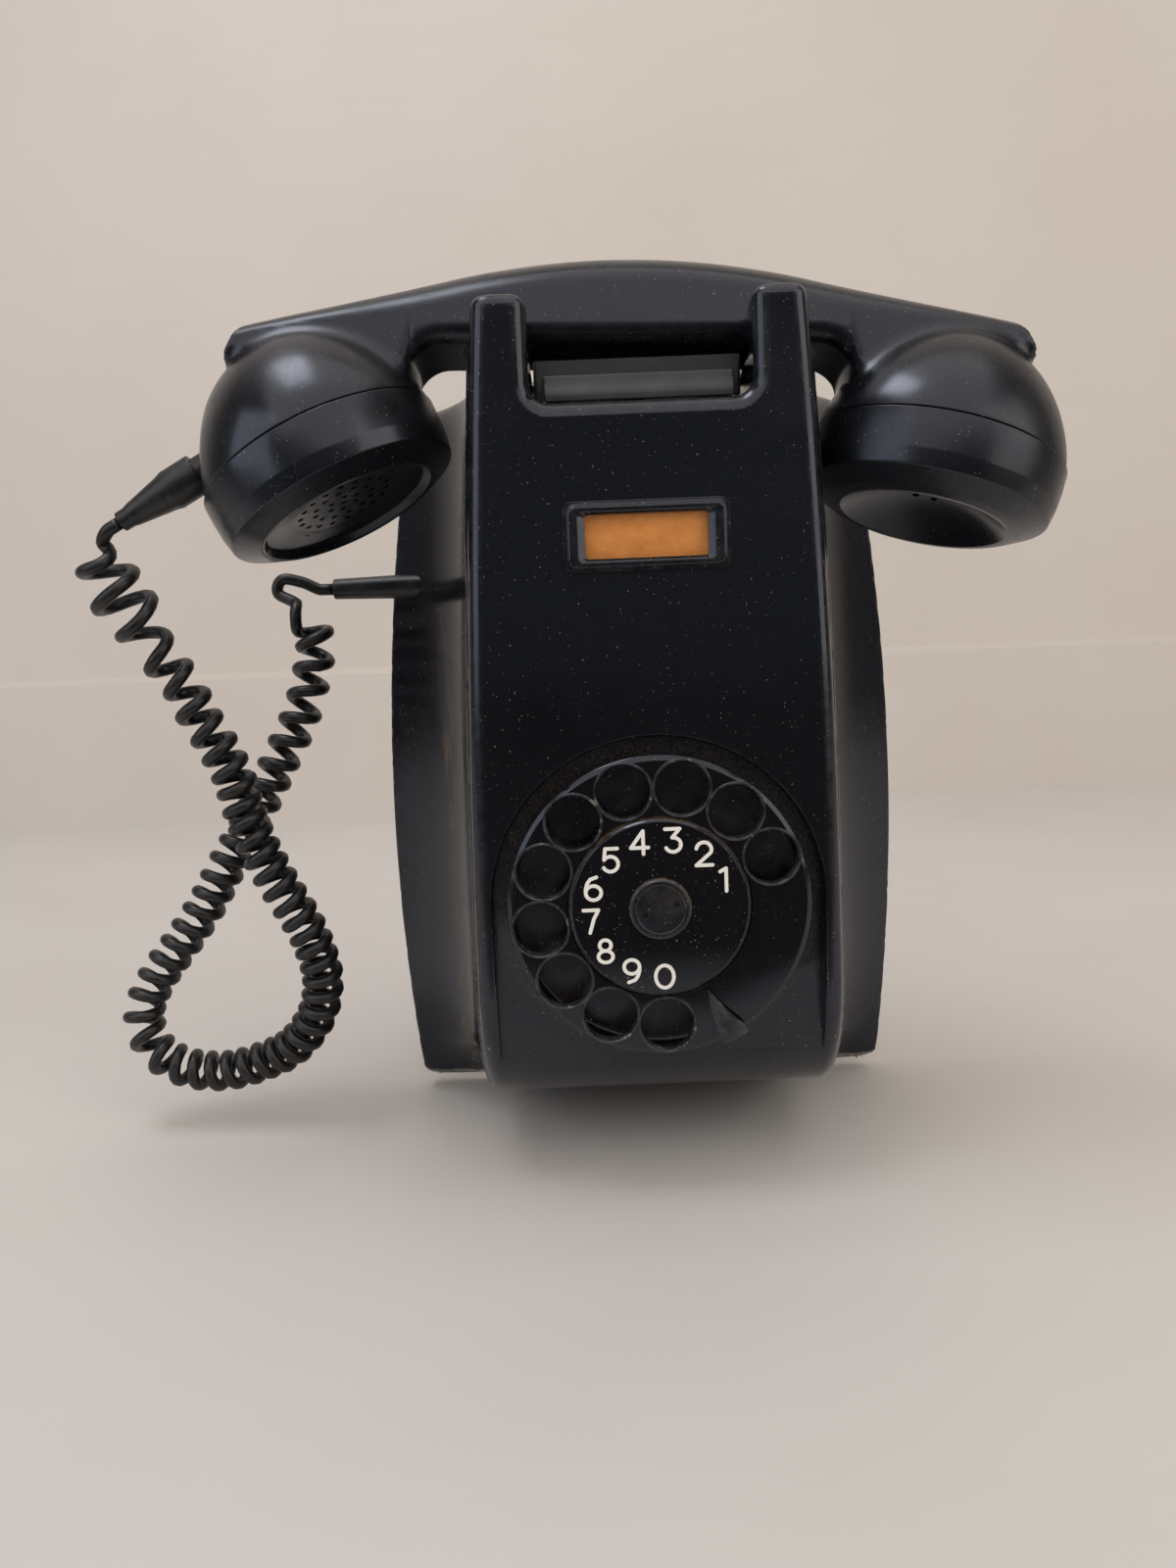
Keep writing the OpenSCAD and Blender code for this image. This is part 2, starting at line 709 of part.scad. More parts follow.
module hook_bar() {
    color(grey_part) difference() {
        union() {
            // The bar, hollowed along its front
            difference() {
                block(-bar_half, bar_half, bar_back, bar_front, bar_low, bar_top);
                translate([0, -bar_front - 7, bar_low + 7.2]) rotate([0, 90, 0])
                    cylinder(r = 8.6, h = 2 * bar_half + 2, center = true);
            }
            for (s = [-1, 1]) {
                translate([s * arm_x, 0, 0]) arm_outline();
                translate([s * arm_x, -hook_d, hook_z]) rotate([0, 90, 0]) cylinder(r = 3, h = 5, center = true);
            }
            block(-arm_x - 1, arm_x + 1, hook_d - 6, hook_d - 4, hook_z - 1.5, hook_z + 1.5);
            block(-4, 4, hook_d - 16, hook_d - 4.5, hook_z - 1, hook_z + 1);
        }
        translate([0, -hook_d, hook_z]) rotate([0, 90, 0]) cylinder(r = hook_pin_r + run_gap, h = 80, center = true);
    }
}

module arm_outline() {
    rotate([90, 0, 90]) linear_extrude(arm_t, center = true) polygon([
        [-hook_d + 6, hook_z - 1.5], [-hook_d + 6, hook_z + 1.5], [-hook_d - 2, hook_z + 4],
        [-bar_back - 1, bar_low + 9], [-bar_back - 1, bar_low + 2], [-hook_d - 6, hook_z - 3], [-hook_d, hook_z - 3]]);
}

ear_x = arm_x + 3;
module hook_pin() {
    color(bright_steel) translate([0, -hook_d, hook_z]) rotate([0, 90, 0]) cylinder(r = hook_pin_r, h = 2 * ear_x + 6, center = true);
}

module hook_bracket() {
    low = hook_z - 6;
    high = hook_z + 6;
    color(black_steel) difference() {
        union() {
            block(-ear_x - 2, ear_x + 2, plate_t, plate_t + 2, low, high - 8.5);
            for (s = [-1, 1]) block(s * ear_x - (s < 0 ? 2 : 0), s * ear_x + (s > 0 ? 2 : 0), plate_t, hook_d + 4, low, high - 2);
        }
        translate([0, -hook_d, hook_z]) rotate([0, 90, 0]) cylinder(r = hook_pin_r + 0.02, h = 80, center = true);
    }
}

module hook_contacts() {
    z0 = hook_z + 1 + clear + 0.3;
    color(fibre) block(-5, 5, plate_t, 20, z0 - 1, z0 + 8);
    color(nickel) for (i = [0:2]) block(-3, 3, 19.5, hook_d - 8, z0 + i * 2.6, z0 + i * 2.6 + 0.4);
}

// Ringer

ringer_d = 17;
bridge_t = 1.6;
coil_z0 = 71;
clap_z = 67;
clap_d = 25;
gong_back = 23;
gong_wall = 1.4;

module ringer_bridge() {
    top = coil_z0 + coil_l + 3;
    color(bright_steel) difference() {
        union() {
            block(-34, 34, ringer_d - bridge_t, ringer_d, 38, 52);
            block(-20, 20, ringer_d - bridge_t, ringer_d, 50, top);
            for (s = [-1, 1]) block(s * 33 - 1, s * 33 + 1, plate_t, ringer_d - 0.5, 38, 52);
            for (s = [-1, 1]) block(s * 19 - 1, s * 19 + 1, plate_t, ringer_d - 0.5, 74, 86);
        }
        for (s = [-1, 1]) rod(1.55, ringer_d - 3, ringer_d + 1, s * gong_x, gong_z);
        rod(1.2 + run_gap, ringer_d - 3, ringer_d + 1, 0, clap_z);
    }
}

module ringer_yoke() {
    color(black_steel) block(-20, 20, ringer_d, ringer_d + 2 * coil_r, coil_z0 + coil_l, coil_z0 + coil_l + 2);
}

module ringer_coils() {
    for (s = [-1, 1]) translate([s * 10, -ringer_d - coil_r - seam, coil_z0]) {
        color(copper) translate([0, 0, 1.4]) cylinder(r = coil_r - 0.8, h = coil_l - 2.8);
        color(fibre) for (z = [0, coil_l - 1.5]) translate([0, 0, z]) cylinder(r = coil_r, h = 1.5);
        color(bright_steel) translate([0, 0, -1]) cylinder(r = 2.5, h = 2);
    }
}

module gongs() {
    crown = gong_back + gong_h;
    color(nickel) for (s = [-1, 1]) turned([
        [1.55, crown - gong_wall], [6, crown - gong_wall], [gong_r - 5, crown - 4], [gong_r - 1.6, gong_back + 4],
        [gong_r - gong_wall, gong_back], [gong_r, gong_back], [gong_r - 0.2, gong_back + 4], [gong_r - 4, crown - 3],
        [7, crown], [1.55, crown]], s * gong_x, gong_z);
}

module gong_screws() {
    crown = gong_back + gong_h;
    color(bright_steel) for (s = [-1, 1]) {
        rod(1.5, ringer_d - bridge_t, crown + 0.02, s * gong_x, gong_z);
        rod(3, crown + 0.02, crown + 2, s * gong_x, gong_z);
        tube(3, 1.5, ringer_d, crown - gong_wall, s * gong_x, gong_z);
    }
}

module clapper() {
    color(bright_steel) {
        difference() {
            union() {
                block(-17, 17, clap_d - 4, clap_d + 4, clap_z - 1.5, clap_z + 1.2);
                rod(2.4, clap_d - 4, clap_d + 4, 0, clap_z);
            }
            rod(1.2 + run_gap, clap_d - 10, clap_d + 10, 0, clap_z);
        }
        translate([0, -clap_d, gong_z]) cylinder(r = 0.7, h = clap_z - gong_z - 2);
        translate([0, -clap_d, gong_z]) sphere(r = ball_r, $fn = 32);
    }
}

module clapper_pin() {
    color(bright_steel) rod(1.2, ringer_d - bridge_t, clap_d + 5, 0, clap_z);
}

// Electrical parts on the wall plate, below the ringer

module capacitor() {
    color(grey_part) {
        translate([-30, -plate_t - 9.02, -44]) cylinder(r = 9, h = 46);
        for (z = [-40, -6]) block(-40, -20, plate_t, plate_t + 1.4, z, z + 4);
    }
}

module induction_coil() {
    color(copper) translate([6, -plate_t - 12, -10]) rotate([0, 90, 0]) cylinder(r = 9, h = 30);
    color(fibre) for (x = [4, 34]) block(x, x + 2.2, plate_t, plate_t + 22, -20.5, 0.5);
}

terminal_xs = [for (i = [0:4]) -4 + i * 9];
module terminal_block() {
    color(bakelite) difference() {
        block(-9, 37, plate_t, plate_t + 9, -58, -40);
        for (x = terminal_xs) rod(1.5, plate_t + 2, plate_t + 10, x, -49);
    }
}

module terminal_screws() {
    color(brass) for (x = terminal_xs) {
        rod(1.45, plate_t + 2.1, plate_t + 9.02, x, -49);
        rod(2.8, plate_t + 9.02, plate_t + 11, x, -49);
    }
}

// Handset, in its own frame: X along the handle, Z towards its crown

module at_handset() {
    translate([handset_x, -handset_y, handset_z]) rotate([-handset_lean, handset_roll, 0]) children();
}
module at_mouth() {
    at_handset() translate([-cup_x, 0, -cup_drop]) rotate([0, -mouth_tilt, 0]) children();
}
module at_ear() {
    at_handset() translate([cup_x, 0, -cup_drop]) rotate([0, ear_tilt, 0]) children();
}

crown_half = 44;
crown_fall = 4.7;
function handle_top(x) =
    let (a = abs(x))
    a <= crown_half ? handle_up - crown_fall * pow(a / crown_half, 2)
    : handle_up - crown_fall - (handle_fall - crown_fall) * (a - crown_half) / (handle_half - crown_half);
function ease(u) = let (v = max(0, min(1, u))) v * v * (3 - 2 * v);

// The underside turns down into the necks, and comes up again inside the domes
neck_start = 48.5;
neck_r = 9;
neck_low = 27;
end_low = 17;
function handle_low(x) =
    let (over = abs(x) - neck_start, turned = round_off(min(over, 8), neck_r), deep = 3.2 * max(0, over - 8))
    min(-handle_down, max(-handle_down - min(neck_low, turned + deep),
        -handle_down - neck_low + (neck_low + handle_down - end_low) * ease((abs(x) - 72) / 18)));

// Ring of a section: an arched top over a body with rounded lower edges, seen along X
function handle_ring(x) =
    let (top = handle_top(x), low = handle_low(x), far = ease((abs(x) - crown_half) / (handle_half - crown_half)),
         a = handle_d / 2, arch = 10 - 4 * far, r = 4.5 - 1.5 * far, lean = 0.5 * sign(x) * ease((abs(x) - 80) / 20),
         side = [for (i = [0:7]) let (t = 90 * i / 7) [a * cos(t), top - arch + arch * sin(t)]],
         foot = [for (i = [0:3]) let (t = 90 * i / 3) [a - r + r * cos(t), low + r - r * sin(t)]],
         right = concat([for (i = [7:-1:0]) side[i]], foot),
         ring = concat(right, [for (i = [len(right) - 1:-1:1]) [-right[i].x, right[i].y]]))
    [for (p = ring) [x + lean * (top - p.y), p.x, p.y]];

handle_xs = let (half = [for (k = [1, 0.95, 0.9, 0.83, 0.76, 0.7]) k * handle_half],
                 neck = [for (k = [14, 11, 9.5, 8, 6.5, 5, 2.5, 0]) neck_start + k])
    concat([for (x = half) -x], [for (x = neck) -x], [for (x = [-40:10:40]) x],
           [for (i = [len(neck) - 1:-1:0]) neck[i]], [for (i = [len(half) - 1:-1:0]) half[i]]);

spigot_r = cup_r - 3.2;
capsule_r = cup_r - 6.3;

// Radius of a cup's dome at height h over the seam
function dome_r(h) = (cup_r - 0.2) * pow(1 - pow(h / dome_h, 1.15), 0.68);

module dome() {
    rotate_extrude($fn = 96) polygon(concat([[0, 0]], [for (i = [0:12]) let (h = dome_h * (1 - pow(1 - i / 12, 1.6)))
        [i == 12 ? 0 : dome_r(h), h]]));
}

module cup_hollow() {
    translate([0, 0, -10]) cylinder(r = capsule_r + seam, h = 16);
    translate([0, 0, 5]) cylinder(r = capsule_r - 6, h = 12);
}

module handset_body() {
    color(bakelite) difference() {
        union() {
            at_handset() loft([for (x = handle_xs) handle_ring(x)]);
            at_mouth() dome();
            at_ear() dome();
            at_mouth() translate([0, 0, -8]) cylinder(r = spigot_r, h = 10);
            at_ear() translate([0, 0, -8]) cylinder(r = spigot_r, h = 10);
        }
        at_mouth() cup_hollow();
        at_ear() cup_hollow();
        at_sleeve() translate([0, 0, -4]) cylinder(r = sleeve_seat_r + seam, h = 12);
    }
}

module mouthpiece_cap() {
    rings = [[0, 1], [4.2, 6], [8.4, 12], [12.6, 18]];
    plate = cap_h - 2.4;
    lip_z = cap_h + mouth_lip;
    color(bakelite) at_mouth() difference() {
        rotate_extrude() polygon([
            [cup_r + 0.2, -0.3], [cup_r + 0.1, -5], [cup_r - 1.1, -cap_h], [mouth_lip_r + 2, -lip_z + 0.5],
            [mouth_lip_r + 1, -lip_z], [mouth_lip_r, -lip_z + 0.4], [mouth_lip_r - 1.6, -plate - 2], [14.5, -plate - 0.4],
            [0, -plate], [0, -plate + 2], [14, -plate + 1.8], [spigot_r + seam, -plate + 0.8], [spigot_r + seam, -0.3]]);
        for (ring = rings, i = [0:ring[1] - 1])
            rotate([0, 0, 360 * i / ring[1]]) translate([ring[0], 0, -cap_h]) cylinder(r = 0.9, h = 6, $fn = 16);
    }
}

mouth_lip_r = 24;
ear_lip_r = 22;
dish_depth = 8;
dish_ball = (pow(ear_lip_r, 2) + pow(dish_depth, 2)) / (2 * dish_depth);

module earpiece_cap() {
    lip_z = cap_h + ear_lip;
    color(bakelite) at_ear() difference() {
        rotate_extrude() polygon([
            [cup_r + 0.2, -0.3], [cup_r + 0.1, -5], [cup_r - 1.3, -cap_h], [ear_lip_r + 3, -lip_z + 0.7],
            [ear_lip_r + 1, -lip_z], [0, -lip_z], [0, -lip_z + dish_depth + 2.2],
            [13, -lip_z + dish_depth + 0.6], [spigot_r + seam - 1, -8.6], [spigot_r + seam, -8.6], [spigot_r + seam, -0.3]]);
        translate([0, 0, -lip_z - dish_ball + dish_depth]) sphere(r = dish_ball, $fn = 96);
        for (i = [0:5]) rotate([0, 0, 60 * i]) translate([5, 0, -lip_z]) cylinder(r = 1, h = 14, $fn = 16);
        translate([0, 0, -lip_z]) cylinder(r = 1, h = 14, $fn = 16);
    }
}

module transmitter() {
    color(nickel) at_mouth() {
        translate([0, 0, -9.5]) cylinder(r = capsule_r - seam, h = 4);
        translate([0, 0, -5.5]) cylinder(r = capsule_r - 8, h = 12);
    }
}

module receiver() {
    color(nickel) at_ear() {
        translate([0, 0, -7.4]) cylinder(r = 12.5, h = 7);
        translate([0, 0, -0.4]) cylinder(r = capsule_r - seam, h = 6);
    }
}

// The sleeve leaves the mouthpiece's dome on its outer side and dips a little
sleeve_up = 11.5;
sleeve_dip = 5;
sleeve_seat_r = 4.2;
module at_sleeve() {
    at_mouth() translate([-dome_r(sleeve_up) - 0.3, 0, sleeve_up]) rotate([0, -90 - sleeve_dip, 0]) children();
}

module handset_sleeve() {
    end_r = cord_d / 2 + 0.9;
    color(rubber) at_sleeve() rotate_extrude() polygon([
        [0, -3.6], [sleeve_seat_r, -3.6], [sleeve_seat_r, 3.4], [sleeve_r, 3.4], [sleeve_r, 0.42 * sleeve_l],
        [sleeve_r - 0.5, 0.48 * sleeve_l], [end_r + 0.4, 0.86 * sleeve_l], [end_r, 0.9 * sleeve_l], [end_r, sleeve_l], [0, sleeve_l]]);
}

gland_root = 71.2;
gland_l = 22;
module cord_gland() {
    color(rubber) translate([-gland_root, -gland_y, gland_z]) rotate([0, -90, 0]) rotate_extrude() polygon([
        [0, -15.5], [gland_r + 1.4, -15.5], [gland_r + 1.4, -13.5], [gland_r, -13.5], [gland_r, 3],
        [gland_r - 0.5, gland_l], [0, gland_l]]);
}

// Curly cord: stations of its middle line, the turns wound up to there and the radius of the turns

cord_route = [
    [-139.07, -61.89, 78.52, 0, 0], [-142.02, -62.14, 76.84, 0, 0], [-145.4, -61.2, 73.2, 0.05, 1.6], [-146, -59, 69, 0.5, 5.2],
    [-144, -57, 62, 1.4, 6.8], [-140.5, -55, 55, 2.3, 6.6],
    [-138, -52, 48, 3, 5], [-135, -50, 42, 3.6, 4.6], [-130, -49, 34, 4.7, 4.5], [-127, -48, 26, 5.8, 4.5],
    [-123, -47, 18, 7, 4.5], [-119, -46, 8, 8.8, 4.5], [-117, -45, -2, 10.7, 4.5], [-114, -45, -12, 12.7, 4.5],
    [-109, -44, -24, 15.2, 4.5], [-103, -42, -37, 17.9, 4.5], [-100, -41, -46, 19.8, 4.5], [-99, -39, -56, 21.8, 4.5],
    [-102, -37, -67, 23.9, 4.5], [-110, -35, -77, 26.3, 4.5], [-120, -34, -82, 28.6, 4.5], [-132, -33, -85, 30.9, 4.5],
    [-144, -32, -84, 33.1, 4.5], [-153, -31, -79, 34.7, 4.5], [-157, -30, -71, 35.8, 4.5], [-156, -30, -63, 37, 4.5],
    [-151, -29, -54, 38.7, 4.5], [-144, -28, -45, 40.6, 4.5], [-136, -27, -34, 42.8, 4.5], [-129, -26, -22, 45.1, 4.5],
    [-120, -24, -7, 48, 4.5], [-111, -22, 10, 50.8, 4.5], [-104, -20, 24, 52.8, 4.5], [-100, -18, 38, 54.6, 4.5],
    [-99, -17.5, 45, 55.5, 4.6], [-101, -16.5, 51, 56.3, 4.2], [-106, -14.5, 55, 56.7, 2.6], [-111, -13.5, 60, 56.85, 0.8],
    [-109, -13, 64.5, 56.9, 0], [-103, -12.6, 63.5, 56.9, 0], [-97.5, -12.5, 61, 56.9, 0], [-93.5, -12.5, 61, 56.9, 0]
];
curl_rings = 8;
cord_sides = 6;

function blend_points(a, b, c, d, u) =
    0.5 * (2 * b + (c - a) * u + (2 * a - 5 * b + 4 * c - d) * u * u + (3 * b - a - 3 * c + d) * u * u * u);
route_n = len(cord_route);
function route_at(s) =
    let (i = min(route_n - 2, floor(s)), u = s - i)
    i == 0 || i == route_n - 2
    ? cord_route[i] * (1 - u) + cord_route[i + 1] * u
    : let (p = blend_points(cord_route[i - 1], cord_route[i], cord_route[i + 1], cord_route[min(i + 2, route_n - 1)], u),
           wound = cord_route[i][3] * (1 - u) + cord_route[i + 1][3] * u)
      [p[0], p[1], p[2], wound, max(0, p[4])];
function unit(v) = v / norm(v);
function xyz(p) = [p[0], p[1], p[2]];

// A place on the wound centre line: the route swung out by the coil's radius
function wound_at(s) =
    let (p = route_at(s), t = unit(xyz(route_at(min(route_n - 1, s + 0.05))) - xyz(route_at(max(0, s - 0.05)))),
         n = unit([0, 1, 0] - t * t.y), b = cross(t, n), a = 360 * p[3])
    [xyz(p), (n * cos(a) + b * sin(a)), p[4]];

// Steps between two stations follow the turns wound there
cord_steps = concat(
    [for (i = [0:route_n - 2])
        let (k = max(i == 0 || i == route_n - 2 ? 1 : 3, round(curl_rings * (cord_route[i + 1][3] - cord_route[i][3]))))
        each [for (j = [0:k - 1]) i + j / k]],
    [route_n - 1]);
cord_line = [for (s = cord_steps) let (w = wound_at(s)) [w[0] + w[1] * w[2], w[1]]];
cord_n = len(cord_line);

function cord_ring(i) =
    let (here = cord_line[i][0], before = cord_line[max(0, i - 1)][0], after = cord_line[min(cord_n - 1, i + 1)][0],
         t = i <= 1 ? unit(cord_line[1][0] - cord_line[0][0]) : unit(after - before),
         out = cord_line[i][1], n = unit(out - t * (out * t)), b = cross(t, n))
    [for (k = [0:cord_sides - 1]) let (a = 360 * k / cord_sides) here + cord_d / 2 * (n * cos(a) - b * sin(a))];

function dist(a, b) = norm(a - b);
own_gap = min([for (i = [0:cord_n - 1], j = [i + 5:1:cord_n - 1])
    let (d = dist(cord_line[i][0], cord_line[j][0])) if (d < 9) d]) - cord_d;
cord_length = [for (i = 0, s = 0; i < cord_n; s = s + (i < cord_n - 1 ? dist(cord_line[i][0], cord_line[i + 1][0]) : 0), i = i + 1) s][cord_n - 1];

module curly_cord() {
    echo(curl_rings = cord_n, own_gap = own_gap, cord_length = cord_length);
    color(rubber) loft([for (i = [0:cord_n - 1]) cord_ring(i)]);
}

wall_plate();
housing();
cover_screw();
card_frame();
number_card();
card_window();
dial_case();
dial_clamp_ring();
dial_plate();
finger_wheel();
number_disc();
centre_nut();
finger_stop();
dial_shaft();
dial_frame();
dial_pillars();
main_gear();
mainspring();
spring_drum();
second_arbor();
pulse_cam();
governor_arbor();
governor_cup();
pulse_contacts();
hook_bar();
hook_pin();
hook_bracket();
hook_contacts();
ringer_bridge();
ringer_coils();
ringer_yoke();
gongs();
gong_screws();
clapper();
clapper_pin();
capacitor();
induction_coil();
terminal_block();
terminal_screws();
line_grommet();
handset_body();
mouthpiece_cap();
earpiece_cap();
transmitter();
receiver();
handset_sleeve();
cord_gland();
curly_cord();
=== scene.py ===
import json
import math
import bmesh
import bpy
import numpy as np
from mathutils import Matrix, Vector


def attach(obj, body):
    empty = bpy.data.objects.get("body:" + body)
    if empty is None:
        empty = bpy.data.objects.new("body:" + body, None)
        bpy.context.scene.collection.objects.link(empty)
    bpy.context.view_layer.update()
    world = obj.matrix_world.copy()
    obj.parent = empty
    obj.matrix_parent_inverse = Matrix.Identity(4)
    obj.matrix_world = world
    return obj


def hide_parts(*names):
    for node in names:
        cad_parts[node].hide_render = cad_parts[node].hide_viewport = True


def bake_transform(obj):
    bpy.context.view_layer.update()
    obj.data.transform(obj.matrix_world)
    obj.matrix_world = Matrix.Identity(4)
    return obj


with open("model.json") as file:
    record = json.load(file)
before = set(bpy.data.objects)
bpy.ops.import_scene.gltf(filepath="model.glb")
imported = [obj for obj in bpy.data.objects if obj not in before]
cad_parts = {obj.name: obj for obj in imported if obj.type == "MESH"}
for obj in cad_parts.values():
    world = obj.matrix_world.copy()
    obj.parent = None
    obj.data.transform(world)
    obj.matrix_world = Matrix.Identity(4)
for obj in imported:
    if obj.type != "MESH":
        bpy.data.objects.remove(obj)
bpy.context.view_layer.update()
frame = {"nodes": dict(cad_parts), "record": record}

nodes = frame["nodes"]
slots = {part["node"]: part["material_slot"] for part in frame["record"]["subparts"]}
mm = 0.001
usualWeld, finestWeld = 0.00001, 0.000001  # Points nearer than this, in metres, are merged
scene = bpy.context.scene
scene.view_settings.view_transform = "Standard"
print("frame loaded:", len(nodes), "nodes")


# sRGB hex to linear RGBA
def tone(hexText):
    raw = [int(hexText[i:i + 2], 16) / 255 for i in (1, 3, 5)]
    return [c / 12.92 if c <= 0.04045 else ((c + 0.055) / 1.055) ** 2.4 for c in raw] + [1.0]


# Adds a node with its settings; each input is given a value, an sRGB hex colour or the output that feeds it
def addNode(tree, kind, given=None, **settings):
    node = tree.nodes.new(kind)
    for key, value in settings.items():
        setattr(node, key, value)
    for key, value in (given or {}).items():
        if isinstance(value, bpy.types.NodeSocket):
            tree.links.new(value, node.inputs[key])
        else:
            node.inputs[key].default_value = tone(value) if isinstance(value, str) else value
    return node


# The camera stands a little left of the telephone and looks slightly down, tilted as the photograph is
photoView = {"place": (-0.017, -0.3825, 0.045), "downDeg": 7.4, "rollDeg": 2.3, "lens": 27.0}


def makeCamera(look):
    cam = bpy.data.objects.new("photoCamera", bpy.data.cameras.new("photoCamera"))
    scene.collection.objects.link(cam)
    down, roll = math.radians(look["downDeg"]), math.radians(look["rollDeg"])
    forward = Vector((0, math.cos(down), -math.sin(down)))
    up = Vector((0, math.sin(down), math.cos(down)))
    right = Vector((1, 0, 0))
    sideways = right * math.cos(roll) - up * math.sin(roll)
    upwards = up * math.cos(roll) + right * math.sin(roll)
    turn = Matrix((sideways, upwards, -forward)).transposed().to_4x4()
    cam.matrix_world = Matrix.Translation(look["place"]) @ turn
    cam.data.lens, cam.data.sensor_width = look["lens"], 36.0
    cam.data.clip_start, cam.data.clip_end = 0.02, 20
    scene.camera = cam


makeCamera(photoView)


# A finished piece stands for a CAD node, which is hidden, and moves with its body
def fit(piece, node, rider):
    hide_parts(node)
    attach(piece, rider)


def newPiece(name, verts, faces, material=None, smooth=True):
    mesh = bpy.data.meshes.new(name)
    mesh.from_pydata([tuple(v) for v in verts], [], [tuple(f) for f in faces])
    mesh.validate()
    if smooth:
        mesh.shade_smooth()
    piece = bpy.data.objects.new(name, mesh)
    scene.collection.objects.link(piece)
    if material:
        mesh.materials.append(material)
    return piece


# Merges doubles and turns every face outwards
def tidyMesh(piece, weld=usualWeld):
    work = bmesh.new()
    work.from_mesh(piece.data)
    bmesh.ops.remove_doubles(work, verts=work.verts, dist=weld)
    bmesh.ops.recalc_face_normals(work, faces=work.faces)
    work.to_mesh(piece.data)
    work.free()
    return piece


# Smooth where faces meet at less than the angle, sharp elsewhere
def creaseAt(piece, degrees):
    piece.data.shade_smooth()
    piece.data.set_sharp_from_angle(angle=math.radians(degrees))
    return piece


# The mesh that the modifiers give, as a plain mesh
def bakeModifiers(piece):
    ready = piece.evaluated_get(bpy.context.evaluated_depsgraph_get())
    mesh = bpy.data.meshes.new_from_object(ready)
    piece.modifiers.clear()
    old, piece.data = piece.data, mesh
    mesh.name = old.name
    return piece


# Cuts closed meshes out of a piece and throws them away
def cutOut(piece, cutters):
    for cutter in cutters:
        step = piece.modifiers.new("cut", "BOOLEAN")
        step.operation, step.solver, step.object = "DIFFERENCE", "MANIFOLD", cutter
    bakeModifiers(piece)
    first = piece.data.materials[0]
    piece.data.materials.clear()
    piece.data.materials.append(first)
    piece.data.polygons.foreach_set("material_index", np.zeros(len(piece.data.polygons), dtype=np.int32))
    for cutter in cutters:
        bpy.data.objects.remove(cutter)
    return piece


# A closed turned solid: (radius, height) points round the local z axis, placed by a matrix
def latheMesh(name, profile, steps=128, place=None, material=None):
    rings, verts, faces = len(profile), [], []
    for i in range(steps):
        a = 2 * math.pi * i / steps
        for r, h in profile:
            verts.append(Vector((r * math.cos(a), r * math.sin(a), h)) * mm)
    for i in range(steps):
        j = (i + 1) % steps
        for k in range(rings - 1):
            faces.append((i * rings + k, j * rings + k, j * rings + k + 1, i * rings + k + 1))
        if profile[0][0] > 1e-6 or profile[-1][0] > 1e-6:
            faces.append((i * rings + rings - 1, j * rings + rings - 1, j * rings, i * rings))
    if place is not None:
        verts = [place @ v for v in verts]
    return tidyMesh(newPiece(name, verts, faces, material))


# Rounds the corners of a profile: each corner point may carry a radius as a third number
def roundProfile(points, steps=4, closed=False):
    out = []
    n = len(points)
    for i, p in enumerate(points):
        r = p[2] if len(p) > 2 else 0
        if r <= 0 or (not closed and i in (0, n - 1)):
            out.append((p[0], p[1]))
            continue
        here, before, after = (np.array(q[:2]) for q in (p, points[i - 1], points[(i + 1) % n]))
        a, b = before - here, after - here
        la, lb = np.linalg.norm(a), np.linalg.norm(b)
        a, b = a / la, b / lb
        half = math.acos(max(-1, min(1, float(a @ b)))) / 2
        cut = min(r / math.tan(half), 0.49 * la, 0.49 * lb)
        for k in range(steps + 1):
            u = k / steps
            q = here + a * cut * (1 - u) ** 2 + b * cut * u ** 2
            out.append((float(q[0]), float(q[1])))
    return out


# Local frame whose z axis points out of the wall (towards the viewer) at height z
def outward(z=0.0, x=0.0):
    return Matrix.Translation((x * mm, 0, z * mm)) @ Matrix.Rotation(math.radians(90), 4, "X")


# Local frame at a point in mm whose z axis points along x, to the right at 90 degrees and to the left at -90
def alongX(x, y, z, degrees):
    return Matrix.Translation((x * mm, y * mm, z * mm)) @ Matrix.Rotation(math.radians(degrees), 4, "Y")


# Solids are drawn as distance functions, negative inside. This keeps what is inside both, its edge rounded to r
def roundBoth(a, b, r):
    return np.minimum(-r, np.maximum(a, b)) + np.hypot(np.maximum(r + a, 0), np.maximum(r + b, 0))


def roundJoin(a, b, r):
    return -roundBoth(-a, -b, r)


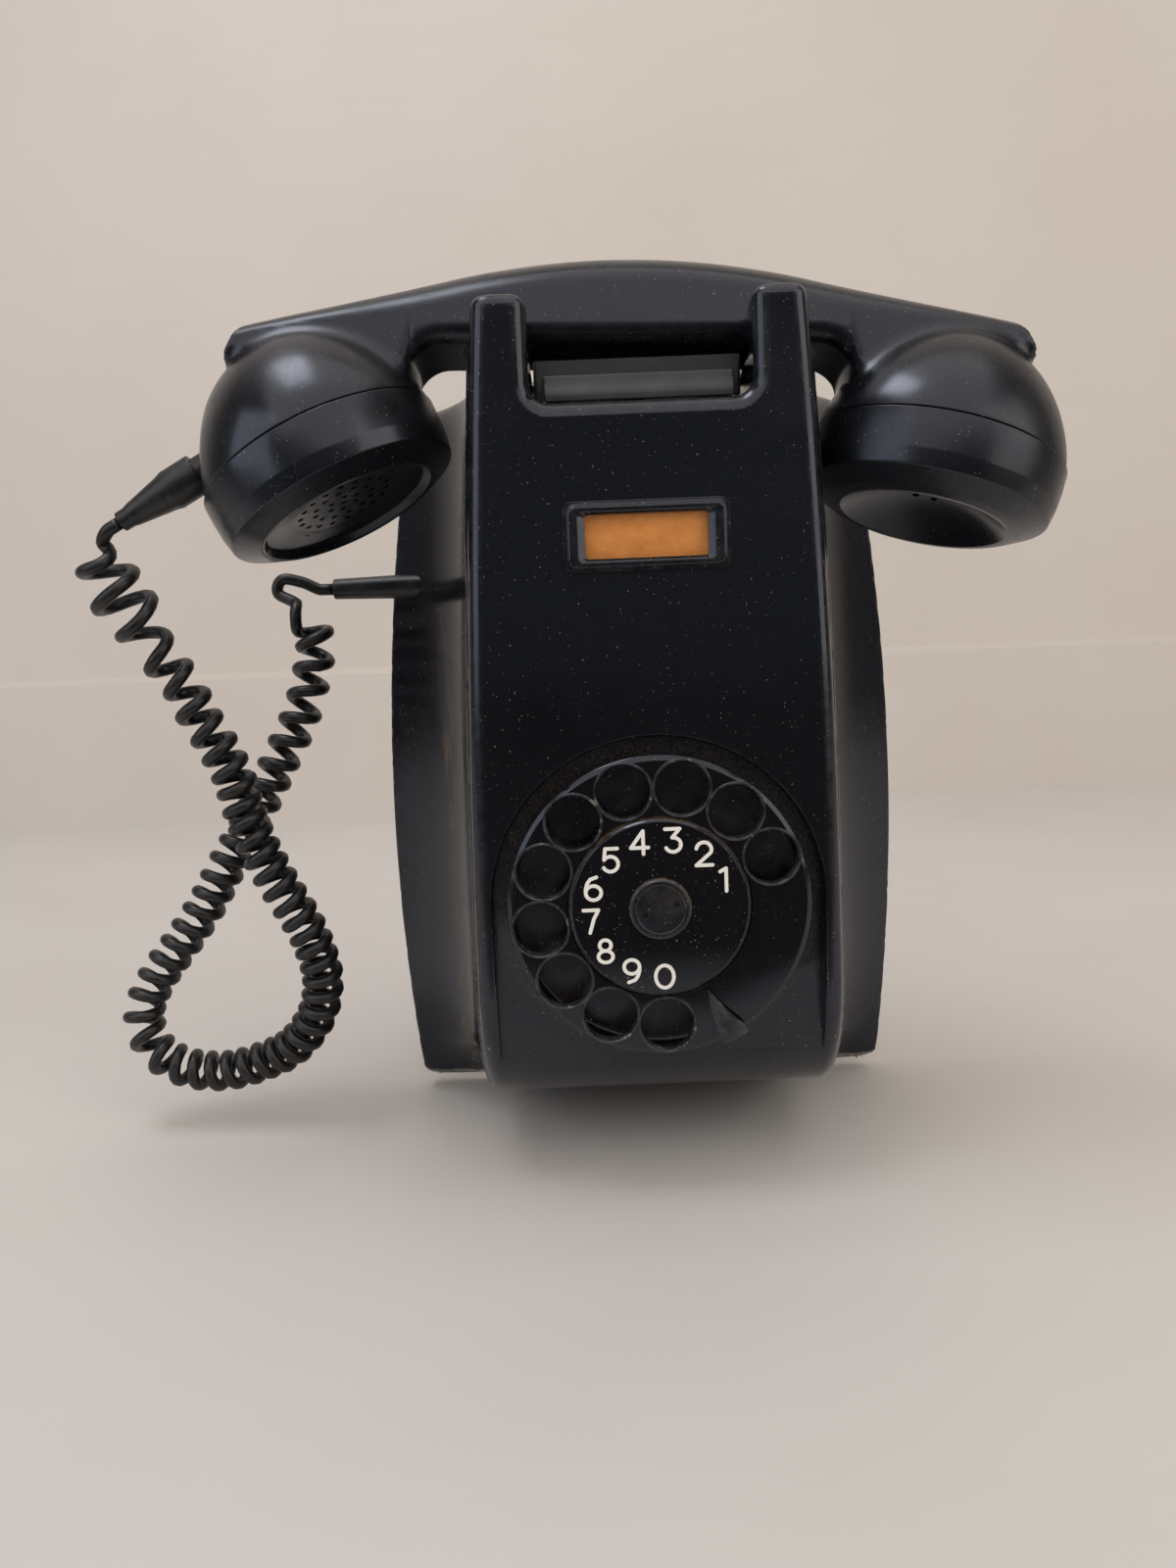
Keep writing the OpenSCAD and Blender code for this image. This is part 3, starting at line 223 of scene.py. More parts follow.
# Turns a distance function into a closed mesh: one point in each cell that the surface passes, pulled onto it
def skinOf(shape, xs, ys, zs, pulls=4):
    xs, ys, zs = (np.asarray(a, float) for a in (xs, ys, zs))
    value = shape(xs[:, None, None], ys[None, :, None], zs[None, None, :])
    value = np.broadcast_to(value, (len(xs), len(ys), len(zs))).astype(np.float32)
    inside = value < 0
    cells = tuple(n - 1 for n in value.shape)
    total, count = np.zeros(cells + (3,)), np.zeros(cells, int)
    grids = (xs, ys, zs)
    crossings = []
    for axis in range(3):
        low = [slice(None)] * 3
        high = [slice(None)] * 3
        low[axis], high[axis] = slice(None, -1), slice(1, None)
        a, b = value[tuple(low)], value[tuple(high)]
        hit = np.argwhere(inside[tuple(low)] != inside[tuple(high)])
        va, vb = a[tuple(hit.T)], b[tuple(hit.T)]
        u = va / (va - vb)
        point = np.stack([grids[k][hit[:, k]] for k in range(3)], axis=1)
        point[:, axis] += u * (grids[axis][hit[:, axis] + 1] - grids[axis][hit[:, axis]])
        others = [k for k in range(3) if k != axis]
        for da in (0, 1):
            for db in (0, 1):
                cell = hit.copy()
                cell[:, others[0]] -= da
                cell[:, others[1]] -= db
                fine = ((cell >= 0) & (cell < np.array(cells))).all(1)
                where = tuple(cell[fine].T)
                np.add.at(total, where, point[fine])
                np.add.at(count, where, 1)
        crossings.append((axis, others, hit, va < 0))
    used = count > 0
    number = np.full(cells, -1)
    number[used] = np.arange(used.sum())
    points = total[used] / count[used][:, None]
    faces = []
    for axis, others, hit, solidBelow in crossings:
        quad = []
        for da, db in ((0, 0), (1, 0), (1, 1), (0, 1)):
            cell = hit.copy()
            cell[:, others[0]] -= da
            cell[:, others[1]] -= db
            quad.append(number[tuple(cell.T)])
        quad = np.stack(quad, axis=1)
        flip = solidBelow if axis != 1 else ~solidBelow
        quad[~flip] = quad[~flip][:, ::-1]
        faces.append(quad)
    faces = np.concatenate(faces)
    start = points.copy()
    reach = np.array([np.diff(g).max() for g in grids]).max() * 0.9
    for _ in range(pulls):
        f, slope = shape(*points.T), slopeOf(shape, points)
        points = points - slope * (f / np.maximum((slope ** 2).sum(1), 0.05))[:, None]
        moved = points - start
        far = np.linalg.norm(moved, axis=1)
        points = np.where((far > reach)[:, None], start + moved * (reach / np.maximum(far, 1e-9))[:, None], points)
    return points, faces


def slopeOf(shape, points, step=0.04):
    parts = []
    for k in range(3):
        shift = np.zeros(3)
        shift[k] = step
        parts.append((shape(*(points + shift).T) - shape(*(points - shift).T)) / (2 * step))
    return np.stack(parts, axis=1)


# How sharply the surface bends outwards (edges) or inwards (corners) at each point, for the wear
def bendOf(shape, points, step=0.9):
    total = -6 * shape(*points.T)
    for k in range(3):
        for sign in (-step, step):
            shift = np.zeros(3)
            shift[k] = sign
            total = total + shape(*(points + shift).T)
    return total / step ** 2


# Grid lines with a fine spacing inside some stretches
def gridLines(low, high, coarse, fine=()):
    lines, at = [low], low
    while at < high - 1e-6:
        step = coarse
        for a, b, spacing in fine:
            if a - 1e-6 <= at < b - 1e-6:
                step = min(step, spacing)
            elif at < a < at + coarse:
                step = min(step, a - at if a - at > spacing else spacing)
        at += step
        lines.append(at)
    return lines


# Where a piece's vertices lie, in mm
def pointsOf(piece):
    flat = np.zeros(len(piece.data.vertices) * 3)
    piece.data.vertices.foreach_get("co", flat)
    return flat.reshape(-1, 3) / mm


# Edge wear for the phenolic, 0 for none to 1, at the finger-hole rims and in the dial's recess also a painted
# highlight: one amount for the whole piece or one for each vertex
def setWear(piece, amount):
    values = np.full(len(piece.data.vertices), amount, np.float32)
    piece.data.attributes.new("wearAndHighlight", "FLOAT", "POINT").data.foreach_set("value", values)


# Faces between rings of points that follow each other; a closed tube joins its last ring to its first
def tubeFaces(rings, sides, closed=False):
    return [(a * sides + k, a * sides + (k + 1) % sides,
             (a + 1) % rings * sides + (k + 1) % sides, (a + 1) % rings * sides + k)
            for a in range(rings if closed else rings - 1) for k in range(sides)]


# Faces of a prism whose two outlines of n points follow each other
def prismFaces(n):
    ends = [tuple(range(n)), tuple(reversed(range(n, 2 * n)))]
    return ends + [(i, i + n, (i + 1) % n + n, (i + 1) % n) for i in range(n)]


# Each material is named for the real one, and all patterns are sized in real millimetres on Object coordinates
def newMaterial(name):
    material = bpy.data.materials.new(name)
    material.use_nodes = True
    tree = material.node_tree
    tree.nodes.clear()
    return material, tree, addNode(tree, "ShaderNodeTexCoord").outputs["Object"]


# A noise whose blobs are about sizeMm across, 0 to 1 between the two limits
def speckle(tree, where, sizeMm, low, high, detail=3.0, stretch=None, seed=0.0):
    source = where
    if stretch or seed:
        source = addNode(tree, "ShaderNodeMapping", {
            "Vector": where, "Scale": stretch or (1, 1, 1),
            "Location": (seed, seed * 0.7, seed * 0.4)}).outputs["Vector"]
    noise = addNode(tree, "ShaderNodeTexNoise", {
        "Vector": source, "Scale": 1000 / sizeMm, "Detail": detail, "Roughness": 0.55})
    return addNode(tree, "ShaderNodeMapRange", {
        "Value": noise.outputs["Fac"], "From Min": low, "From Max": high}).outputs["Result"]


# A base value plus patterns, each times its weight
def addUp(tree, base, parts, clamp=False):
    total = base
    for pattern, weight in parts:
        total = addNode(tree, "ShaderNodeMath", {0: pattern, 1: weight, 2: total},
                        operation="MULTIPLY_ADD", use_clamp=clamp).outputs[0]
    return total


# Colours laid over a base one after another: each layer has a mask, how strongly it covers, and its colour
def layOver(tree, base, layers):
    colour = base
    for mask, strength, above in layers:
        cover = addNode(tree, "ShaderNodeMath", {0: mask, 1: strength}, operation="MULTIPLY").outputs[0]
        colour = addNode(tree, "ShaderNodeMix", {0: cover, 6: colour, 7: above}, data_type="RGBA").outputs[2]
    return colour


# Ends an opaque material: what its shader gets, and a relief of the given depth
def closeMaterial(tree, given, relief=None, strength=0.0, depthMm=0.0):
    if relief:
        bump = addNode(tree, "ShaderNodeBump", {"Height": relief, "Strength": strength, "Distance": depthMm * mm})
        given = dict(given, Normal=bump.outputs["Normal"])
    shader = addNode(tree, "ShaderNodeBsdfPrincipled", given)
    addNode(tree, "ShaderNodeOutputMaterial", {"Surface": shader.outputs["BSDF"]})


# Hard moulded phenolic, polished in the mould: black with a cool cast, glossy, dulled by hands, fine scratches,
# edges rubbed to a paler, rougher grey. In mm: smudges 38, greasy film 9, scratches 9 long and under 1 wide,
# dust 0.7, chips and rubbed patches 3.2, the mould's ripple 14 and its grain 1.1
phenolicLook = {
    "black": "#0d0f12", "rubbed": "#45464a", "dust": "#8b8883", "chip": "#7c766c", "dirt": "#5d5140", "film": "#3b352d",
    "tint": "#e3ebff", "gloss": 0.09, "dull": 0.22,
}


def phenolic(name, look, dusty=0.0, haze=1.0, streakAndDirt=None):
    material, tree, where = newMaterial(name)
    smudge = speckle(tree, where, 38, 0.38, 0.68, 4.0)
    film = speckle(tree, where, 9, 0.42, 0.72, 5.0, seed=0.31)
    scratches = addNode(tree, "ShaderNodeMath", {
        0: speckle(tree, where, 9, 0.69, 0.73, 2.0, (14, 1, 1.1), 0.11),
        1: speckle(tree, where, 8, 0.69, 0.73, 2.0, (1.3, 1, 12), 0.47)}, operation="MAXIMUM").outputs[0]
    dust = speckle(tree, where, 0.7, 0.738 - 0.02 * dusty, 0.77, 1.0, seed=0.2)
    nick = speckle(tree, where, 3.2, 0.65, 0.68, 3.0, seed=0.71)
    patchy = speckle(tree, where, 3.2, 0.35, 0.62, 4.0, seed=0.83)
    # Paler rubbed edges: real wear, and at the hole rims and the recess partly a painted highlight
    wearAndHighlight = addNode(tree, "ShaderNodeAttribute", attribute_name="wearAndHighlight").outputs["Fac"]
    rubbed = addUp(tree, 0.0, [(wearAndHighlight, patchy)], True)
    worn = addNode(tree, "ShaderNodeMath", {0: wearAndHighlight, 1: 0.3}, operation="GREATER_THAN").outputs[0]
    chipped = addUp(tree, 0.0, [(worn, nick)])
    layers = [(rubbed, 0.55, look["rubbed"]), (chipped, 0.8, look["chip"])]
    rough = [(smudge, (look["dull"] - look["gloss"]) * haze), (film, 0.04), (scratches, 0.16), (rubbed, 0.25)]
    if streakAndDirt:
        dirt = streakAndDirt(tree, where)
        layers.append((dirt, 1.0, look["dirt"]))
        rough.append((dirt, 0.5))
    if dusty > 0.6:
        layers.append((film, 0.5, look["film"]))
    layers.append((dust, 0.55 + 0.3 * dusty, look["dust"]))
    ripple = speckle(tree, where, 14, 0.0, 1.0, 2.0, seed=0.9)
    grain = speckle(tree, where, 1.1, 0.0, 1.0, 2.0, seed=0.5)
    closeMaterial(tree, {
        "Base Color": layOver(tree, look["black"], layers), "Roughness": addUp(tree, look["gloss"], rough, True),
        "IOR": 1.58, "Specular Tint": look["tint"],
    }, addUp(tree, 0.0, [(ripple, 0.9), (grain, 0.05), (rubbed, -0.12)]), 0.22, 0.2)
    return material


# Where the marks lie, in mm: the brown streak down the left flank, the grit on the recess floor, and the dirt rings on
# the dial
streakAndDirtLook = {
    "streakX": -61.0, "streakDrift": 6.0, "streakHalf": (2.2, 0.5), "streakZ": (55.0, 30.0), "dialZ": -25.0,
    "floorDepth": 80.0, "floorReach": 43.2, "gritZ": (-62.0, -35.0), "rings": ((22.95, 0.42), (7.7, 0.3)),
}


# The distance of a point from the dial's axis, which runs along y
def fromDialAxis(tree, where):
    flat = addNode(tree, "ShaderNodeVectorMath", {0: where, 1: (1, 0, 1)}, operation="MULTIPLY").outputs[0]
    return addNode(tree, "ShaderNodeVectorMath", {0: flat, 1: (0, 0, streakAndDirtLook["dialZ"] * mm)},
                   operation="DISTANCE").outputs["Value"]


# A broken brown streak down the left flank, in streaks of 1 to 4 mm, and grit on the recess floor
def flankStreakAndGrit(tree, where):
    look = streakAndDirtLook
    split = addNode(tree, "ShaderNodeSeparateXYZ", {"Vector": where})
    drift = speckle(tree, where, 30, 0.0, 1.0, 2.0, seed=0.66)
    centre = addUp(tree, look["streakX"] * mm, [(drift, look["streakDrift"] * mm)])
    reach = []
    for value, target in ((split.outputs["X"], centre), (split.outputs["Y"], -look["floorDepth"] * mm)):
        gap = addNode(tree, "ShaderNodeMath", {0: value, 1: target}, operation="SUBTRACT").outputs[0]
        reach.append(addNode(tree, "ShaderNodeMath", {0: gap}, operation="ABSOLUTE").outputs[0])
    masks = []
    for value, limits in ((reach[0], look["streakHalf"]), (split.outputs["Z"], look["streakZ"]),
                          (split.outputs["Z"], look["gritZ"])):
        masks.append(addNode(tree, "ShaderNodeMapRange", {
            "Value": value, "From Min": limits[0] * mm, "From Max": limits[1] * mm}).outputs["Result"])
    for value, limit in ((reach[1], 0.3), (fromDialAxis(tree, where), look["floorReach"])):
        masks.append(addNode(tree, "ShaderNodeMath", {0: value, 1: limit * mm}, operation="LESS_THAN").outputs[0])
    band, span, low, onFloor, inRecess = masks
    broken = speckle(tree, where, 5, 0.45, 0.62, 4.0, (3, 3, 0.5), 0.37)
    grit = addUp(tree, 0.06, [(speckle(tree, where, 0.45, 0.42, 0.66, 3.0, seed=0.15), 0.3)])
    for mask in (span, broken):
        band = addUp(tree, 0.0, [(band, mask)], True)
    for mask in (onFloor, inRecess, low):
        grit = addUp(tree, 0.0, [(grit, mask)])
    return addNode(tree, "ShaderNodeMath", {0: band, 1: grit}, operation="MAXIMUM").outputs[0]


# Brown dirt packed where the number disc and the nut meet the wheel, in rings under a millimetre wide
def discStain(tree, where):
    away = fromDialAxis(tree, where)
    total = 0.0
    for radius, half in streakAndDirtLook["rings"]:
        gap = addNode(tree, "ShaderNodeMath", {0: away, 1: radius * mm}, operation="SUBTRACT").outputs[0]
        off = addNode(tree, "ShaderNodeMath", {0: gap}, operation="ABSOLUTE").outputs[0]
        ring = addNode(tree, "ShaderNodeMapRange", {
            "Value": off, "From Min": half * mm, "From Max": half * 0.3 * mm}).outputs["Result"]
        total = addNode(tree, "ShaderNodeMath", {0: total, 1: ring}, operation="MAXIMUM").outputs[0]
    return addUp(tree, 0.0, [(total, speckle(tree, where, 1.5, 0.25, 0.6, 3.0, seed=0.77))], True)


# Vulcanised rubber: dull black, slightly bloomed to grey, no gloss; the bloom comes in 3 mm patches
def rubberCord(name, base="#0b0c0e", bloom="#1d1e20"):
    material, tree, where = newMaterial(name)
    patch = speckle(tree, where, 3.0, 0.4, 0.75, 4.0)
    fine = speckle(tree, where, 0.5, 0.3, 0.8, 2.0, seed=0.4)
    closeMaterial(tree, {"Base Color": layOver(tree, base, [(patch, 0.6, bloom)]),
                         "Roughness": addUp(tree, 0.36, [(patch, 0.14)]), "IOR": 1.52}, fine, 0.15, 0.1)
    return material


# Card aged to orange brown behind its window, in 5 mm patches, with fibres of 0.5 mm, drawn coarse enough to show
def agedPaper(name):
    material, tree, where = newMaterial(name)
    fox = speckle(tree, where, 5, 0.35, 0.7, 5.0)
    fibre = speckle(tree, where, 0.5, 0.3, 0.7, 4.0, (0.35, 1, 1), 0.2)
    colour = layOver(tree, "#e6a970", [(fox, 1.0, "#d0905a"), (fibre, 0.25, "#efc594")])
    closeMaterial(tree, {"Base Color": colour, "Roughness": 0.8}, fibre, 0.3, 0.05)
    return material


# Clear celluloid gone slightly yellow: nearly all light goes through, the rest is a gloss under a faint film
def celluloid(name):
    material, tree, where = newMaterial(name)
    film = speckle(tree, where, 6, 0.3, 0.8, 4.0)
    through = addNode(tree, "ShaderNodeBsdfTransparent", {"Color": "#fff8ea"})
    gloss = addNode(tree, "ShaderNodeBsdfGlossy", {"Roughness": addUp(tree, 0.08, [(film, 0.12)])})
    facing = addNode(tree, "ShaderNodeLayerWeight", {"Blend": 0.5}).outputs["Facing"]
    grazing = addNode(tree, "ShaderNodeMath", {0: facing, 1: 4.0}, operation="POWER").outputs[0]
    both = addNode(tree, "ShaderNodeMixShader", {
        0: addUp(tree, 0.04, [(grazing, 0.6)]), 1: through.outputs[0], 2: gloss.outputs[0]})
    addNode(tree, "ShaderNodeOutputMaterial", {"Surface": both.outputs[0]})
    return material


# White paint pressed into the numerals: matt, a little yellowed, with dirt in 1.6 mm specks
def numeralPaint(name):
    material, tree, where = newMaterial(name)
    dirt = speckle(tree, where, 1.6, 0.62, 0.8, 4.0)
    closeMaterial(tree, {"Base Color": layOver(tree, "#efeee9", [(dirt, 0.5, "#b9b3a6")]), "Roughness": 0.45})
    return material


# Bare metals: brushed or drawn, the grain 4 mm across and drawn out 14 times along one axis, tarnish in 7 mm patches
def metal(name, bright, dull, rough):
    material, tree, where = newMaterial(name)
    patch = speckle(tree, where, 7, 0.35, 0.75, 4.0)
    grain = speckle(tree, where, 4.0, 0.3, 0.7, 2.0, (1, 1, 14), 0.3)
    closeMaterial(tree, {"Base Color": layOver(tree, bright, [(patch, 1.0, dull)]), "Metallic": 1.0,
                         "Roughness": addUp(tree, rough, [(grain, 0.12)])}, grain, 0.08, 0.05)
    return material


# Painted, wound or pressed surfaces: one colour with a second in patches of the given size
def coated(name, first, second, rough, patchMm=6.0, metallic=0.0):
    material, tree, where = newMaterial(name)
    patch = speckle(tree, where, patchMm, 0.35, 0.7, 4.0)
    fine = speckle(tree, where, 0.8, 0.3, 0.7, 2.0, seed=0.6)
    closeMaterial(tree, {"Base Color": layOver(tree, first, [(patch, 1.0, second)]), "Metallic": metallic,
                         "Roughness": addUp(tree, rough, [(fine, 0.1)])}, fine, 0.1, 0.1)
    return material


# The same phenolic with another polish, and a little paler at the rims of the finger holes: worn, and partly a painted
# highlight for the thin bright line each rim catches
handsetLook = dict(phenolicLook, gloss=0.2, dull=0.38)
dialLook = dict(phenolicLook, black="#0c0c0e", gloss=0.06, dull=0.14)
rimWearAndHighlightLook = dict(phenolicLook, black="#141416", rubbed="#5a5a5c", gloss=0.14, dull=0.3)
floorLook = dict(phenolicLook, gloss=0.18, dull=0.4)
nutLook = dict(phenolicLook, gloss=0.2, dull=0.4)
finishes = {
    "body": phenolic("mouldedPhenolicBody", phenolicLook, 0.4, 0.9, flankStreakAndGrit),
    "handset": phenolic("mouldedPhenolicHandset", handsetLook, 0.3, 1.0),
    "dial": phenolic("mouldedPhenolicDial", dialLook, 0.5, 0.8, discStain),
    "holeRimsWornAndHighlit": phenolic("phenolicRimsWornAndHighlit", rimWearAndHighlightLook, 0.3, 0.8),
    "floorOfDial": phenolic("dustyPhenolic", floorLook, 1.0, 1.0),
    "nutFace": phenolic("dustyPhenolicNut", nutLook, 0.9, 1.0, discStain),
    "cord": rubberCord("rubberCord"),
    "sleeve": rubberCord("rubberSleeve", "#121315", "#2e2f31"),
    "paper": agedPaper("agedCard"),
    "window": celluloid("yellowedCelluloid"),
    "numerals": numeralPaint("numeralPaint"),
    "blackSteel": coated("blackLacqueredSteel", "#17181a", "#2a2a2b", 0.36, 9, 0.3),
    "stopSteel": coated("blackenedSteelStop", "#33353a", "#515359", 0.24, 5, 0.7),
    "brightSteel": metal("drawnSteel", "#a9abad", "#7d7d7c", 0.26),
    "brass": metal("turnedBrass", "#c2a05a", "#8f7038", 0.3),
    "nickel": metal("nickelPlate", "#c6c4bc", "#9b9a94", 0.18),
    "windings": coated("lacqueredCopperWindings", "#8f4a26", "#6b3419", 0.34, 0.8, 0.7),
    "greyPart": coated("greyLacqueredCasting", "#77797b", "#5e6062", 0.42, 8, 0.15),
    "barGrey": coated("greyLacqueredBar", "#34373a", "#292c2f", 0.34, 8, 0.1),
    "fibre": coated("pressedFibre", "#6a4a2c", "#54381f", 0.7, 2.5),
}
print("materials:", len(finishes))


# The curly cord. Its route's stations are a point of the middle line, the turns wound up to there, and their radius
cordLook = {"diameter": 0.0036, "sides": 12, "perTurn": 16}
cordRoute = [
    (-0.13907, -0.06189, 0.07852, 0, 0), (-0.14202, -0.06214, 0.07684, 0, 0),
    (-0.1454, -0.0612, 0.0732, 0.05, 0.0016), (-0.146, -0.059, 0.069, 0.5, 0.0052),
    (-0.144, -0.057, 0.062, 1.4, 0.0068), (-0.1405, -0.055, 0.055, 2.3, 0.0066), (-0.138, -0.052, 0.048, 3, 0.005),
    (-0.135, -0.05, 0.042, 3.6, 0.0046), (-0.13, -0.049, 0.034, 4.7, 0.0045), (-0.127, -0.048, 0.026, 5.8, 0.0045),
    (-0.123, -0.047, 0.018, 7, 0.0045), (-0.119, -0.046, 0.008, 8.8, 0.0045), (-0.117, -0.045, -0.002, 10.7, 0.0045),
    (-0.114, -0.045, -0.012, 12.7, 0.0045), (-0.109, -0.044, -0.024, 15.2, 0.0045),
    (-0.103, -0.042, -0.037, 17.9, 0.0045), (-0.1, -0.041, -0.046, 19.8, 0.0045),
    (-0.099, -0.039, -0.056, 21.8, 0.0045), (-0.102, -0.037, -0.067, 23.9, 0.0045),
    (-0.11, -0.035, -0.077, 26.3, 0.0045), (-0.12, -0.034, -0.082, 28.6, 0.0045),
    (-0.132, -0.033, -0.085, 30.9, 0.0045), (-0.144, -0.032, -0.084, 33.1, 0.0045),
    (-0.153, -0.031, -0.079, 34.7, 0.0045), (-0.157, -0.03, -0.071, 35.8, 0.0045),
    (-0.156, -0.03, -0.063, 37, 0.0045), (-0.151, -0.029, -0.054, 38.7, 0.0045),
    (-0.144, -0.028, -0.045, 40.6, 0.0045), (-0.136, -0.027, -0.034, 42.8, 0.0045),
    (-0.129, -0.026, -0.022, 45.1, 0.0045), (-0.12, -0.024, -0.007, 48, 0.0045), (-0.111, -0.022, 0.01, 50.8, 0.0045),
    (-0.104, -0.02, 0.024, 52.8, 0.0045), (-0.1, -0.018, 0.038, 54.6, 0.0045), (-0.099, -0.0175, 0.045, 55.5, 0.0046),
    (-0.101, -0.0165, 0.051, 56.3, 0.0042), (-0.106, -0.0145, 0.055, 56.7, 0.0026),
    (-0.111, -0.0135, 0.06, 56.85, 0.0008), (-0.109, -0.013, 0.0645, 56.9, 0), (-0.103, -0.0126, 0.0635, 56.9, 0),
    (-0.0975, -0.0125, 0.061, 56.9, 0), (-0.0935, -0.0125, 0.061, 56.9, 0),
]


def blendPoints(a, b, c, d, u):
    return 0.5 * (2 * b + (c - a) * u + (2 * a - 5 * b + 4 * c - d) * u * u + (3 * b - a - 3 * c + d) * u ** 3)


def routeAt(s):
    rows = np.array(cordRoute)
    last = len(rows) - 1
    i = min(last - 1, int(s))
    u = s - i
    if i in (0, last - 1):
        return rows[i] * (1 - u) + rows[i + 1] * u
    here = blendPoints(rows[i - 1], rows[i], rows[i + 1], rows[min(i + 2, last)], u)
    here[3] = rows[i][3] * (1 - u) + rows[i + 1][3] * u
    here[4] = max(0, here[4])
    return here


# The wound line: the route swung out by the coil's radius, with the direction in which it is swung
def woundLine(perTurn):
    last = len(cordRoute) - 1
    line, swings = [], []
    for i in range(last):
        turns = cordRoute[i + 1][3] - cordRoute[i][3]
        steps = max(2 if i in (0, last - 1) else 6, round(perTurn * turns))
        for k in range(steps + (1 if i == last - 1 else 0)):
            s = i + k / steps
            p = routeAt(s)
            ahead = routeAt(min(last, s + 0.05))[:3] - routeAt(max(0, s - 0.05))[:3]
            t = ahead / np.linalg.norm(ahead)
            n = np.array([0, 1, 0]) - t * t[1]
            n /= np.linalg.norm(n)
            b = np.cross(t, n)
            a = 2 * math.pi * p[3]
            swing = n * math.cos(a) + b * math.sin(a)
            line.append(p[:3] + swing * p[4])
            swings.append(swing)
    return np.array(line), np.array(swings)


def makeCord(material):
    line, swings = woundLine(cordLook["perTurn"])
    along = np.gradient(line, axis=0)
    along /= np.linalg.norm(along, axis=1)[:, None]
    side = swings - along * (swings * along).sum(1)[:, None]
    side /= np.linalg.norm(side, axis=1)[:, None]
    up = np.cross(along, side)
    count, sides, r = len(line), cordLook["sides"], cordLook["diameter"] / 2
    turn = 2 * math.pi * np.arange(sides) / sides
    verts = (line[:, None, :] + r * (np.cos(turn)[None, :, None] * side[:, None, :]
                                     + np.sin(turn)[None, :, None] * up[:, None, :])).reshape(-1, 3)
    ends = [tuple(reversed(range(sides))), tuple((count - 1) * sides + k for k in range(sides))]
    cord = newPiece("curlyCordRubber", verts, tubeFaces(count, sides) + ends, material)
    tidyMesh(cord, finestWeld)
    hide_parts("curly_cord")
    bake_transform(cord)
    return cord


# The moulded body, in mm: a raised front band between two coved flanks, carried up into two prongs
body = {
    "depth": 86.0, "foot": 103.0, "shoulder": 115.0, "backHalf": 79.6, "widestZ": -15.0, "sideRadius": 680.0,
    "cove": 3.4, "bandHalf": 48.0, "bandTaper": 7.0, "edgeRadius": 4.0, "ledge": 0.8, "rim": 8.0, "wall": 3.0,
    "chinZ": -48.0, "chinRadius": 38.0, "chinTurn": 68.0, "shoulderRadius": 12.0, "footCorner": 9.0,
    "prongTop": 127.0, "prongFoot": 93.0, "prongDepth": 13.0, "prongRound": 2.8, "gapHalf": 27.5, "lipZ": 101.0,
    "lipRound": 4.0, "gapCorner": 5.0, "gapBack": 50.0, "troughDepth": 54.0, "troughZ": 111.6, "troughRadius": 20.0,
    "bandFromZ": -60.0, "bandReach": 187.0, "topRound": 3.0, "backRound": 0.8, "footZ": -102.6, "footRound": 1.0,
    "troughRound": 1.5, "roomTop": 111.4, "roomFoot": -96.0,
    "glandHole": [(0, -12), (3.7, -12), (3.7, 14), (0, 14)],
    "screwHole": [(0, -108), (2.3, -108), (2.3, -80), (0, -80)],
    "cardSeat": ((-17.75, -89, 62.25), (17.75, -80, 73.75), 1.0),
}
dial = {
    "z": -25.0, "pocketRadius": 42.8, "pocketFloor": 80.0, "rimRound": 1.1,
    "recess": {"arcSteps": 96, "rowStep": 2.5, "rows": 34, "flareTurn": 1.38, "flare": 1.6, "top": 99.0},
    "seat": [(0, 70), (35, 70), (35, 82), (0, 82)], "hole": [(0, 86), (7.2, 86), (7.2, 93), (0, 93)],
    "keyHole": [(0, 93.2), (0.8, 93.2), (0.8, 95), (0, 95)], "keyReach": 4.18, "keyTurn": 16.7,
    "holesRadius": 30.9, "holeCount": 10, "steps": 13, "firstHole": 22.5, "discFront": 92.8, "stopAngle": 298.0,
    "wheel": [(3.1, 83.1), (8, 83.1), (8, 88.5), (36.8, 88.5), (36.8, 85.5, 0.3), (38.8, 85.5, 0.4), (38.8, 90.1, 0.9),
              (37.4, 91, 0.9), (23.5, 91, 0.35), (23.2, 90.2, 0.2), (3.1, 90.2)],
    "holeRim": [(6.8, 87.9, 0.15), (7.6, 87.9, 0.1), (7.6, 91.2, 0.12), (7.45, 91.42, 0.12), (7.1, 91.5, 0.2),
                (6.8, 91.1, 0.3)],
    "disc": [(3.1, 90.22), (22.8, 90.22), (22.8, 92.2, 0.25), (22.2, 92.8, 0.5), (3.1, 92.8)],
    "nut": [(0, 92.82), (7.7, 92.82), (7.7, 93.6, 0.2), (7.2, 94.1, 0.35), (6.3, 94.1, 0.2), (6.1, 93.95, 0.3),
            (0, 93.85)],
}
chinTurn = math.radians(body["chinTurn"])
chinBack = body["depth"] - body["chinRadius"]
chinLow = body["chinZ"] - body["chinRadius"] * math.sin(chinTurn)
chinLowDepth = chinBack + body["chinRadius"] * math.cos(chinTurn)


# How far a corner of radius r has fallen away at a distance past its start
def roundOff(over, r):
    return np.where(over <= 0, 0, r - np.sqrt(np.maximum(0, r ** 2 - np.minimum(over, r) ** 2)))


# Depth of the front at a height: the flat band, the round chin, then the straight underside
def frontAt(z):
    arc = chinBack + np.sqrt(np.maximum(0, body["chinRadius"] ** 2 - (z - body["chinZ"]) ** 2))
    under = chinLowDepth * (z + body["foot"]) / (chinLow + body["foot"])
    return np.where(z >= body["chinZ"], body["depth"], np.where(z >= chinLow, arc, under))


